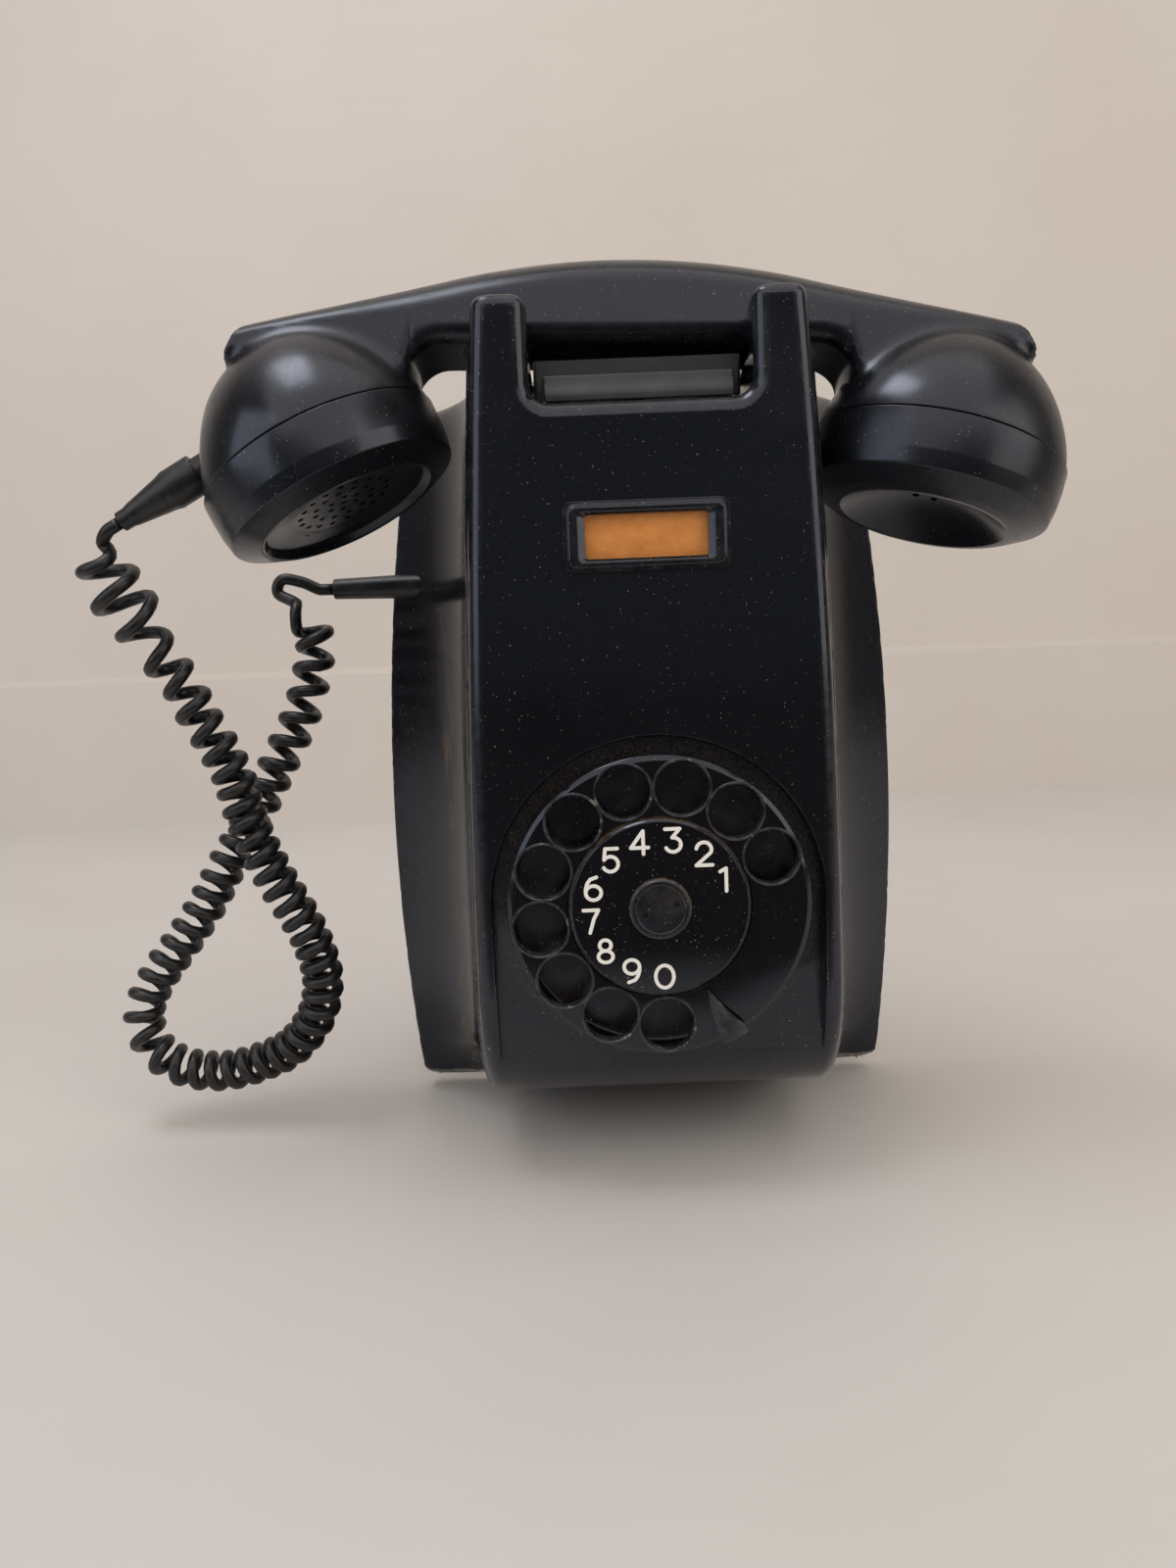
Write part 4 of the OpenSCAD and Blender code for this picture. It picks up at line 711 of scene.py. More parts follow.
# Half width against the wall at a height
def backAt(z):
    return (body["backHalf"] - (z - body["widestZ"]) ** 2 / (2 * body["sideRadius"])
            - roundOff(z - body["shoulder"] + body["shoulderRadius"], body["shoulderRadius"])
            - roundOff(body["footCorner"] - body["foot"] - z, body["footCorner"]))


def bandAt(z):
    return body["bandHalf"] - body["bandTaper"] * ((z - body["bandFromZ"]) / body["bandReach"]) ** 2


# Half width at a depth and height: straight rim at the wall, hollow flank, narrow ledge beside the band
def halfWidth(d, z):
    front, wide, band = frontAt(z), backAt(z), bandAt(z)
    top = front - body["edgeRadius"] - 1
    rim = np.minimum(body["rim"], 0.4 * front)
    u = np.clip((top - d) / np.maximum(top - rim, 1), 0, 1)
    ledge = body["ledge"] * np.clip(1 - (d - top), 0, 1)
    return band + ledge + np.maximum(wide - band - body["ledge"], 0.5) * u ** body["cove"]


def skinShape(x, d, z):
    half = halfWidth(d, z)
    leanD = (halfWidth(d + 0.5, z) - halfWidth(d - 0.5, z))
    leanZ = np.clip(halfWidth(d, z + 0.5) - halfWidth(d, z - 0.5), -3, 3)
    side = (np.abs(x) - half) / np.sqrt(1 + leanD ** 2 + leanZ ** 2)
    front = frontAt(z)
    leanF = np.clip(frontAt(z + 0.5) - frontAt(z - 0.5), -4, 4)
    face = (d - front) / np.sqrt(1 + leanF ** 2)
    return roundBoth(side, face, np.clip(0.35 * front, 0.5, body["edgeRadius"]))


def pocketPlan(x, z):
    down = z < dial["z"]
    return np.where(down, np.abs(x), np.hypot(x, z - dial["z"])) - dial["pocketRadius"]


def troughAt(d, z):
    return np.hypot(d - body["troughDepth"], z - body["troughZ"] - body["troughRadius"])


def bodyShape(x, y, z):
    d = -y
    b = body
    outer = roundBoth(roundBoth(skinShape(x, d, z), z - b["shoulder"], b["topRound"]), -d, b["backRound"])
    outer = roundBoth(outer, b["footZ"] - z, b["footRound"])
    slab = roundBoth(np.abs(x) - bandAt(z), d - b["depth"], b["edgeRadius"])
    slab = roundBoth(slab, b["depth"] - b["prongDepth"] - d, b["prongRound"])
    slab = roundBoth(slab, z - b["prongTop"], b["prongRound"])
    slab = np.maximum(slab, b["prongFoot"] - z)
    outer = np.minimum(outer, slab)
    gapPlan = roundBoth(np.abs(x) - b["gapHalf"], b["lipZ"] - z, b["gapCorner"])
    gap = np.maximum(gapPlan, b["gapBack"] - d)
    outer = roundBoth(outer, -gap, b["lipRound"])
    return roundBoth(outer, b["troughRadius"] - troughAt(d, z), b["troughRound"])


# The room inside: the same skin set in by the wall, kept clear of the trough and of the dial's pan
def roomShape(x, y, z):
    d = -y
    b = body
    room = np.maximum(np.maximum(skinShape(x, d, z) + b["wall"], z - b["roomTop"]), b["roomFoot"] - z)
    room = np.maximum(room, b["troughRadius"] + b["wall"] - troughAt(d, z))
    pan = np.maximum(pocketPlan(x, z) - b["wall"], dial["pocketFloor"] - b["wall"] - d)
    return np.maximum(np.maximum(room, -pan), -d - 2)


# A tool with the plan of the dial's recess, flared at its rim so that the edge comes out rounded
def recessCutter():
    look = dial["recess"]
    angles = [math.pi * i / look["arcSteps"] for i in range(look["arcSteps"] + 1)]
    plan = [(math.cos(a), math.sin(a)) for a in angles]
    r, r0 = dial["pocketRadius"], dial["rimRound"]
    path = [(r * c, dial["z"] + r * s, c, s) for c, s in plan]
    downs = [dial["z"] - look["rowStep"] * (i + 1) for i in range(look["rows"])]
    path += [(-r, z, -1, 0) for z in downs]
    path = [(r, z, 1, 0) for z in reversed(downs)] + path
    verts, rows = [], []
    for x, z, nx, nz in path:
        front = float(frontAt(np.array(z + 0.0)))
        low = dial["pocketFloor"] - 0.001
        outline = [(0, low)]
        bends = [(r0 * (1 - math.cos(t)), front - r0 + r0 * math.sin(t)) for t in np.linspace(0, look["flareTurn"], 7)]
        bends = [(o, max(h, low + 0.01 * (k + 1))) for k, (o, h) in enumerate(bends)]
        wide = r0 + look["flare"]
        outline += bends + [(wide, max(front + 0.5, low + 0.2)), (wide, look["top"])]
        rows.append(len(verts))
        verts += [Vector((x + nx * o, -h, z + nz * o)) * mm for o, h in outline]
    width, faces = len(outline), []
    for a in range(len(path) - 1):
        for k in range(width - 1):
            i, j = rows[a] + k, rows[a + 1] + k
            faces.append((i, i + 1, j + 1, j))
    faces.append([r + width - 1 for r in rows])
    faces.append([r for r in reversed(rows)])
    faces.append([rows[0] + k for k in range(width)] + [rows[-1] + k for k in reversed(range(width))])
    return tidyMesh(newPiece("recessCutter", verts, faces))


def blockMesh(name, low, high, corner=0.0):
    (x0, y0, z0), (x1, y1, z1) = low, high
    plan = []
    for cx, cz, start in ((x1, z1, 0), (x0, z1, 90), (x0, z0, 180), (x1, z0, 270)):
        sx, sz = (-1 if cx == x1 else 1), (-1 if cz == z1 else 1)
        for k in range(7 if corner else 1):
            a = math.radians(start + (15 * k if corner else 45))
            plan.append((cx + sx * corner + corner * math.cos(a), cz + sz * corner + corner * math.sin(a)))
    verts = [Vector((x, y, z)) * mm for y in (y0, y1) for x, z in plan]
    return tidyMesh(newPiece(name, verts, prismFaces(len(plan))))


# Shading normals of the exact shape, wherever the mesh lies on it and its face agrees within the limit
def exactNormals(piece, shape, limit=35, near=0.05):
    mesh = piece.data
    points = pointsOf(piece)
    on = np.abs(shape(*points.T)) < near
    slope = slopeOf(shape, points)
    slope /= np.maximum(np.linalg.norm(slope, axis=1), 1e-9)[:, None]
    corner = np.zeros(len(mesh.loops) * 3, np.float32)
    mesh.corner_normals.foreach_get("vector", corner)
    corner = corner.reshape(-1, 3)
    vertex = np.zeros(len(mesh.loops), int)
    mesh.loops.foreach_get("vertex_index", vertex)
    face = np.zeros(len(mesh.polygons) * 3)
    mesh.polygons.foreach_get("normal", face)
    sizes = np.zeros(len(mesh.polygons), int)
    mesh.polygons.foreach_get("loop_total", sizes)
    flat = np.repeat(face.reshape(-1, 3), sizes, axis=0)
    want = slope[vertex]
    good = on[vertex] & ((want * flat).sum(1) > math.cos(math.radians(limit)))
    corner[good] = want[good]
    mesh.normals_split_custom_set(corner.tolist())
    return piece


def makeHousing(material):
    coarse, fine = ((1.7, 0.85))  # finer at the wall's rim, the band's edges and the prongs
    xs = gridLines(-81, 81, coarse, [(-81, -60, fine), (-51, -23, fine), (23, 51, fine), (60, 81, fine)])
    ys = gridLines(-87.2, 1.2, coarse * 0.9, [(-87.2, -71, fine), (-2.4, 1.2, fine * 0.6)])
    zs = gridLines(-104, 128.5, coarse, [(-104, -98, fine), (95, 128.5, fine)])
    points, faces = skinOf(bodyShape, xs, ys, zs)
    piece = newPiece("housingShell", points * mm, faces, material)
    tidyMesh(piece)
    step = coarse * 1.3
    fine = step * 0.5
    points, faces = skinOf(roomShape, gridLines(-80, 80, step, [(-80, -62, fine), (62, 80, fine)]),
                           gridLines(-84, 3, step, [(-14, 3, fine)]), gridLines(-98, 113, step))
    room = tidyMesh(newPiece("roomCutter", points * mm, faces))
    cutOut(piece, [
        room,
        recessCutter(),
        latheMesh("seatCutter", dial["seat"], 128, outward(dial["z"])),
        blockMesh("cardCutter", *body["cardSeat"]),
        latheMesh("glandCutter", body["glandHole"], 48, alongX(-74.5, -12.5, 61.0, 90)),
        latheMesh("screwCutter", body["screwHole"], 32, Matrix.Translation((0, -0.03, 0))),
    ])
    creaseAt(piece, 32)
    points = pointsOf(piece)
    # Inside the dial's recess and on its rounded rim a little rubbed wear, partly a painted highlight for the thin
    # bright line along the rim; elsewhere wear where the surface bends outwards
    inRecess = (pocketPlan(points[:, 0], points[:, 2]) < 1.3) & (bodyShape(*points.T) < -0.05)
    setWear(piece, np.where(inRecess, 0.15, np.clip((bendOf(bodyShape, points) - 0.12) / 0.5, 0, 1)))
    exactNormals(piece, bodyShape)
    exactNormals(piece, lambda x, y, z: -roomShape(x, y, z), 50)
    return piece


# The handset, in mm and degrees: an arched handle that runs into two domes
handset = {
    "x": -1.0, "depth": 54.0, "z": 129.9, "rollDeg": 2.0, "leanDeg": 8.0, "cupX": 82.5, "cupDrop": 39.5,
    "cupRadius": 33.0, "mouthTilt": 27.0, "earTilt": 15.0, "domeHeight": 39.5, "domeHigh": 32.0, "thick": 27.0,
    "up": 12.1, "down": 12.8, "half": 99.5, "fall": 17.6, "crownHalf": 44.0, "crownFall": 4.7, "neckStart": 48.5,
    "neckRadius": 9.0, "neckLow": 27.0, "endLow": 17.0, "crease": 3.0, "sleeveUp": 11.5, "sleeveDip": 5.0,
    "neckTurn": 8.0, "neckSteep": 3.2, "endFrom": 72.0, "endOver": 18.0, "arch": 10.0, "archFall": 4.0,
    "archPower": 1.75, "underRound": 4.5, "underFall": 1.5, "endRound": 0.7, "domePower": 1.6, "domeGap": 0.2,
    "flatReach": 34.4, "flatRound": 5.0, "sleeveHole": [(0, -4), (4.3, -4), (4.3, 8), (0, 8)],
    "seam": [(29.8, -0.02), (32.35, -0.02), (32.6, 0.06), (32.78, 0.3), (33.6, 0.55), (46, 0.55), (46, -14),
             (29.8, -14)],
    "hollow": [(0, -14), (31, -14), (31, -8), (26.8, -8), (26.8, 6), (20.7, 6), (20.7, 17), (0, 17)],
}
leanLength = 1.118  # the length of a slope of 1 in 2, to turn its rise into a distance
atHandset = (Matrix.Translation((handset["x"] * mm, -handset["depth"] * mm, handset["z"] * mm))
             @ Matrix.Rotation(math.radians(handset["rollDeg"]), 4, "Y")
             @ Matrix.Rotation(math.radians(-handset["leanDeg"]), 4, "X"))
mouthInHandset = (Matrix.Translation((-handset["cupX"] * mm, 0, -handset["cupDrop"] * mm))
                  @ Matrix.Rotation(math.radians(-handset["mouthTilt"]), 4, "Y"))
earInHandset = (Matrix.Translation((handset["cupX"] * mm, 0, -handset["cupDrop"] * mm))
                @ Matrix.Rotation(math.radians(handset["earTilt"]), 4, "Y"))
atMouth, atEar = atHandset @ mouthInHandset, atHandset @ earInHandset


def domeRadius(h):
    return (handset["cupRadius"] - handset["domeGap"]) * (1 - (h / handset["domeHeight"]) ** 1.15) ** 0.68


sleeveInMouth = (Matrix.Translation(((-domeRadius(handset["sleeveUp"]) - 0.3) * mm, 0, handset["sleeveUp"] * mm))
                 @ Matrix.Rotation(math.radians(-90 - handset["sleeveDip"]), 4, "Y"))
atSleeve = atMouth @ sleeveInMouth


def ease(u):
    v = np.clip(u, 0, 1)
    return v * v * (3 - 2 * v)


# Height of the handle's crown, and below it of its underside, at a distance from the middle
def handleTop(a):
    h = handset
    crown = h["up"] - h["crownFall"] * (a / h["crownHalf"]) ** 2
    further = (h["fall"] - h["crownFall"]) * (a - h["crownHalf"]) / (h["half"] - h["crownHalf"])
    slope = h["up"] - h["crownFall"] - further
    return np.where(a <= h["crownHalf"], crown, slope)


def handleLow(a):
    h = handset
    over = a - h["neckStart"]
    turned = roundOff(np.minimum(over, h["neckTurn"]), h["neckRadius"])
    deep = h["neckSteep"] * np.maximum(0, over - h["neckTurn"])
    rise = h["neckLow"] + h["down"] - h["endLow"]
    back = -h["down"] - h["neckLow"] + rise * ease((a - h["endFrom"]) / h["endOver"])
    return np.minimum(-h["down"], np.maximum(-h["down"] - np.minimum(h["neckLow"], turned + deep), back))


# A point given in a frame's own coordinates
def intoFrame(matrix, x, y, z):
    m = np.array(matrix.inverted())
    return [m[k, 0] * x + m[k, 1] * y + m[k, 2] * z + m[k, 3] / mm for k in range(3)]


# The dome swells like a ball above its seam; the side away from the grip is flatter
def domeShape(u, v, h, side):
    look, power = handset, handset["domePower"]
    wide, high = look["cupRadius"] - look["domeGap"], look["domeHigh"]
    r, up = np.hypot(u, v), np.maximum(h, 0.02)
    value = (up / high) ** power + (r / wide) ** 2 - 1
    slope = np.hypot(power / high * (up / high) ** (power - 1), 2 / wide * np.maximum(r, 0.2) / wide)
    outside = (u * side - look["flatReach"] + 0.5 * h) / leanLength
    return np.maximum(roundBoth(value / slope, outside, look["flatRound"]), -h - 3)


def handsetShape(x, y, z):
    h = handset
    a = np.abs(x)
    far = ease((a - h["crownHalf"]) / (h["half"] - h["crownHalf"]))
    top, low = handleTop(a), handleLow(a)
    arch, half = h["arch"] - h["archFall"] * far, h["thick"] / 2
    over = np.maximum(z - (top - arch), 0)
    p = h["archPower"]
    ring = ((np.abs(y) / half) ** p + (over / arch) ** p) ** (1 / p)
    slope = np.hypot((np.abs(y) / half) ** (p - 1) / half, (over / arch) ** (p - 1) / arch)
    slope = slope / np.maximum(ring, 1e-4) ** (p - 1)
    sides = np.where(z > top - arch, (ring - 1) / np.maximum(slope, 1e-3), np.abs(y) - half)
    leanLow = np.clip(handleLow(a + 0.4) - handleLow(a - 0.4), -3, 3) / 0.8
    under = (low - z) / np.sqrt(1 + leanLow ** 2)
    handle = roundBoth(sides, under, h["underRound"] - h["underFall"] * far)
    end = (a - h["half"] - 0.5 * (handleTop(h["half"]) - z)) / leanLength
    solid = roundBoth(handle, end, h["endRound"])
    for place, side in ((mouthInHandset, -1), (earInHandset, 1)):
        u, v, w = intoFrame(place, x, y, z)
        solid = roundJoin(solid, domeShape(u, v, w, side), h["crease"])
    return solid


# What is cut from a dome: the step round the spigot that the cap screws over, and the hollow behind the capsule
def domeCutters(place):
    return [latheMesh("seamCutter", handset["seam"], 192, place),
            latheMesh("spigotCutter", handset["hollow"], 128, place)]


def makeHandsetBody(material):
    step = 0.95
    xs, ys = gridLines(-125, 125, step), gridLines(-36, 36, step)
    zs = gridLines(-78, 14.5, step)
    points, faces = skinOf(handsetShape, xs, ys, zs)
    piece = tidyMesh(newPiece("handsetShell", points * mm, faces, material))
    cuts = domeCutters(mouthInHandset) + domeCutters(earInHandset)
    cuts.append(latheMesh("sleeveCutter", handset["sleeveHole"], 48, mouthInHandset @ sleeveInMouth))
    cutOut(piece, cuts)
    creaseAt(piece, 32)
    setWear(piece, np.clip((bendOf(handsetShape, pointsOf(piece)) - 0.14) / 0.6, 0, 1))
    exactNormals(piece, handsetShape)
    piece.data.transform(atHandset)
    return piece


# What repeats: Geometry Nodes put copies of a mesh in a ring round the z axis
def ringTree():
    tree = bpy.data.node_groups.new("ringOfCopies", "GeometryNodeTree")
    face = tree.interface
    face.new_socket("Geometry", in_out="INPUT", socket_type="NodeSocketGeometry")
    for label, kind in (("Count", "Int"), ("Steps", "Int"), ("First Angle", "Float"), ("Ring Radius", "Float"),
                        ("Material", "Material")):
        face.new_socket(label, in_out="INPUT", socket_type="NodeSocket" + kind)
    face.new_socket("Geometry", in_out="OUTPUT", socket_type="NodeSocketGeometry")
    given = addNode(tree, "NodeGroupInput").outputs
    angle = 2 * math.pi
    index = addNode(tree, "GeometryNodeInputIndex").outputs[0]
    for operation, other in (("DIVIDE", given["Steps"]), ("MULTIPLY", index), ("ADD", given["First Angle"])):
        angle = addNode(tree, "ShaderNodeMath", {0: angle, 1: other}, operation=operation).outputs[0]
    place = {}
    for axis, operation in (("X", "COSINE"), ("Y", "SINE")):
        wave = addNode(tree, "ShaderNodeMath", {0: angle}, operation=operation).outputs[0]
        place[axis] = addNode(tree, "ShaderNodeMath", {0: wave, 1: given["Ring Radius"]},
                              operation="MULTIPLY").outputs[0]
    position = addNode(tree, "ShaderNodeCombineXYZ", place).outputs[0]
    points = addNode(tree, "GeometryNodePoints", {"Count": given["Count"], "Position": position}).outputs[0]
    copies = addNode(tree, "GeometryNodeInstanceOnPoints", {"Points": points, "Instance": given["Geometry"]}).outputs[0]
    solid = addNode(tree, "GeometryNodeRealizeInstances", {"Geometry": copies}).outputs[0]
    painted = addNode(tree, "GeometryNodeSetMaterial", {"Geometry": solid, "Material": given["Material"]}).outputs[0]
    addNode(tree, "NodeGroupOutput", {"Geometry": painted})
    return tree


ringCopies = ringTree()


def giveInputs(step, tree, values):
    for socket in tree.interface.items_tree:
        if socket.in_out == "INPUT" and socket.name in values:
            step[socket.identifier] = values[socket.name]


# The piece becomes a ring of itself, then goes to its place
def intoRing(piece, count, steps, radius, first=0.0, place=None, material=None):
    step = piece.modifiers.new("ring", "NODES")
    step.node_group = ringCopies
    giveInputs(step, ringCopies, {"Count": count, "Steps": steps, "Ring Radius": radius * mm,
                                  "First Angle": math.radians(first), "Material": material})
    bakeModifiers(piece)
    if place is not None:
        piece.data.transform(place)
    return piece


# Drills for a perforated face: one ring of thin rods for each (count, radius)
def perforations(look, place):
    drills, hole, (low, high) = [], look["hole"], look["drill"]
    for count, radius in look["rings"]:
        rod = latheMesh("drill", [(0, low), (hole, low), (hole, high), (0, high)], 16)
        drills.append(intoRing(rod, count, count, radius, 11.0 * radius, place))
    return drills


# The handset's caps, as turned profiles in mm with rings of small holes (count, radius)
mouthCap = {
    "profile": [(0, -9.6), (14, -9.8), (29.9, -10.8), (29.9, -0.3), (33.2, -0.3, 0.35), (33.1, -5), (32.7, -10, 5),
                (31.9, -13.9, 0.7), (26.4, -16.4, 2.0), (25.2, -17, 0.6), (24.2, -16.7, 0.5), (22.9, -14.8, 1.2),
                (14.5, -13.7, 6), (0, -13.4)],
    "rings": [(1, 0), (6, 4.2), (12, 8.4), (18, 12.6)], "hole": 0.9, "drill": (-16, -8),
}
earCap = {
    "rim": [(0, -7.8), (13, -9.4), (28.9, -8.6), (29.9, -8.6), (29.9, -0.3), (33.2, -0.3, 0.35), (33.1, -5),
            (32.6, -10, 5), (31.7, -14.0, 0.9), (25.4, -17.3, 2.0), (23.2, -18, 0.8)],
    "dishRadius": 34.25, "dishCentre": -44.25, "dishRim": 22.0, "rings": [(1, 0), (6, 5)], "hole": 1.0,
    "drill": (-14, -6),
}


def makeCaps(material):
    steps = 192
    mouth = latheMesh("mouthpieceShell", roundProfile(mouthCap["profile"], 6), steps, atMouth, material)
    cutOut(mouth, perforations(mouthCap, atMouth))
    look = earCap
    dish = [(look["dishRim"] * (1 - k / 14), 0) for k in range(15)]
    dish = [(r, look["dishCentre"] + math.sqrt(look["dishRadius"] ** 2 - r ** 2)) for r, _ in dish]
    profile = roundProfile(look["rim"] + [dish[0] + (0.6,)] + dish[1:], 6)
    ear = latheMesh("earpieceShell", profile, steps, atEar, material)
    cutOut(ear, perforations(earCap, atEar))
    for cap, node in ((mouth, "mouthpiece_cap"), (ear, "earpiece_cap")):
        creaseAt(cap, 30)
        setWear(cap, 0.0)
        fit(cap, node, "handset")
    return mouth, ear


# The rubber sleeve on the handset's cord and the gland at the flank, turned profiles in mm
boots = {
    "sleeve": [(0, -3.6), (4.2, -3.6), (4.2, 3.4), (5.4, 3.4, 0.4), (5.4, 11.8, 1.2), (4.9, 13.4, 1.0),
               (3.1, 24.1, 0.8), (2.75, 25.2, 0.5), (2.7, 28, 0.5), (0, 28)],
    "gland": [(0, -15.5), (5, -15.5), (5, -13.5, 0.3), (3.6, -13.5, 0.2), (3.6, 3, 2), (3.1, 22, 0.5), (0, 22)],
}


def makeBoots(material):
    sleeve = latheMesh("handsetCordSleeve", roundProfile(boots["sleeve"], 5), 64, atSleeve, material)
    gland = latheMesh("wallCordGland", roundProfile(boots["gland"], 5), 64,
                      alongX(-71.2, -12.5, 61.0, -90), material)
    for boot, node, rider in ((sleeve, "handset_sleeve", "handset"), (gland, "cord_gland", "phone")):
        creaseAt(boot, 35)
        fit(boot, node, rider)


# A moulded finger wheel with a raised rim round each hole
def makeWheel(material):
    steps = 256
    turn = outward(dial["z"])
    wheel = latheMesh("fingerWheelMoulding", roundProfile(dial["wheel"], 5, True), steps, turn, material)
    hole = latheMesh("holeCutter", dial["hole"], 72)
    cutOut(wheel, [intoRing(hole, dial["holeCount"], dial["steps"], dial["holesRadius"], dial["firstHole"], turn)])
    creaseAt(wheel, 30)
    rim = latheMesh("fingerHoleRims", roundProfile(dial["holeRim"], 4, True), 72)
    intoRing(rim, dial["holeCount"], dial["steps"], dial["holesRadius"], dial["firstHole"], turn, finishes["holeRimsWornAndHighlit"])
    creaseAt(rim, 40)
    # The hole rims carry heavy wear, partly a painted highlight for their thin bright line
    for piece, worn in ((wheel, 0.0), (rim, 0.6)):
        setWear(piece, worn)
        fit(piece, "finger_wheel", "dial")


def arc(cx, cy, rx, ry, start, end, count=18):
    return [(cx + rx * math.cos(math.radians(start + (end - start) * k / count)),
             cy + ry * math.sin(math.radians(start + (end - start) * k / count))) for k in range(count + 1)]


# Each numeral is one or two strokes round its own middle, in mm
numeralStrokes = [
    [[(-1.1, 2.1), (0.4, 2.92), (0.4, -2.92)]],
    [arc(0, 1.08, 1.9, 1.84, 172, -28) + [(-2.0, -2.92), (2.1, -2.92)]],
    [[(-2.0, 2.92), (1.7, 2.92), (-0.25, 0.72)] + arc(-0.05, -1.1, 1.95, 1.82, 95, -155)],
    [[(0.95, -2.92), (0.95, 2.92), (-2.2, -1.3), (2.2, -1.3)]],
    [[(1.75, 2.92), (-1.3, 2.92), (-1.6, 0.1)] + arc(-0.05, -1.0, 1.95, 1.92, 142, -152)],
    [arc(0, -1.1, 1.95, 1.82, -180, 180, 30), [(-1.95, -1.1), (-1.9, 0.1), (-1.5, 1.35), (-0.7, 2.4), (0.9, 2.92)]],
    [[(-1.95, 2.92), (1.85, 2.92), (0.6, 0.6), (-0.45, -2.92)]],
    [arc(0, 1.52, 1.45, 1.4, -90, 270, 26), arc(0, -1.4, 1.85, 1.52, 90, 450, 30)],
    [arc(0, 1.1, 1.95, 1.82, 0, 360, 30), [(1.95, 1.1), (1.9, -0.1), (1.5, -1.35), (0.7, -2.4), (-0.9, -2.92)]],
    [arc(0, 0, 2.3, 2.92, 0, 360, 40)],
]
numeralLook = {
    "stroke": 0.92, "ring": 17.7, "thick": 0.05, "proud": 0.03, "fineness": 0.13, "levels": [92.7, 92.76, 92.82, 92.9],
}


# Thin raised strokes with round ends
def strokeShape(strokes, width, thick, top):
    ends = np.array([(a, b) for line in strokes for a, b in zip(line[:-1], line[1:])])
    a, b = ends[:, 0], ends[:, 1]

    def shape(x, y, z):
        px, py = np.broadcast_arrays(np.asarray(x, float), np.asarray(y, float))
        best = np.full(px.shape, 99.0)
        for (ax, ay), (bx, by) in zip(a, b):
            dx, dy = bx - ax, by - ay
            u = np.clip(((px - ax) * dx + (py - ay) * dy) / (dx * dx + dy * dy), 0, 1)
            best = np.minimum(best, np.hypot(px - ax - u * dx, py - ay - u * dy))
        return np.maximum(best - width / 2, np.abs(z - top + thick) - thick)
    return shape


def makeNumberDisc(material, paint):
    turn = outward(dial["z"])
    disc = latheMesh("numberDiscMoulding", roundProfile(dial["disc"], 5, True), 192, turn, material)
    creaseAt(disc, 30)
    look = numeralLook
    verts, faces, count = [], [], 0
    for i, strokes in enumerate(numeralStrokes):
        shape = strokeShape(strokes, look["stroke"], look["thick"], dial["discFront"] + look["proud"])
        grid = np.arange(-3.7, 3.71, look["fineness"] * (1))
        points, quads = skinOf(shape, grid[(grid > -3.1) & (grid < 3.1)], grid, look["levels"])
        angle = math.radians(dial["firstHole"] + i * 360 / dial["steps"])
        shift = np.array([look["ring"] * math.cos(angle), look["ring"] * math.sin(angle), 0])
        verts.append((points + shift) * mm)
        faces.append(quads + count)
        count += len(points)
    numerals = newPiece("dialNumerals", np.concatenate(verts), np.concatenate(faces), paint, False)
    tidyMesh(numerals, finestWeld)
    numerals.data.transform(turn)
    for piece in (disc, numerals):
        setWear(piece, 0.0)
        fit(piece, "number_disc", "dial")


def makeNut(material):
    turn = outward(dial["z"])
    nut = latheMesh("centreNutTurned", roundProfile(dial["nut"], 5), 96, turn, material)
    key = latheMesh("keyHole", dial["keyHole"], 24)
    cutOut(nut, [intoRing(key, 2, 2, dial["keyReach"], dial["keyTurn"], turn)])
    creaseAt(nut, 30)
    setWear(nut, 0.25)
    fit(nut, "centre_nut", "dial")


# The finger stop, in mm: its middle line as (radius, depth), and how wide it is on either side at some radii
fingerStop = {
    "path": [(40.1, 80.1), (40.1, 84), (40.1, 88), (40.1, 89.6), (40.0, 89.95), (39.75, 90.2), (38.3, 91.55),
             (37.75, 92.05), (37.3, 92.35), (36.8, 92.6), (36.2, 92.72), (35.0, 92.78), (33.6, 92.8), (32, 92.76),
             (30.4, 92.7), (29, 92.66), (27.5, 92.64), (26.3, 92.62), (25.2, 92.6), (24.55, 92.58)],
    "footRows": 6, "footHalf": 3.4, "radii": [24.5, 27, 30, 34, 36.5, 38.6, 40.7],
    "wideA": [0.15, 0.62, 1.2, 2.45, 3.5, 3.65, 3.4], "wideB": [0.4, 1.25, 2.0, 2.75, 3.2, 3.4, 3.4],
}


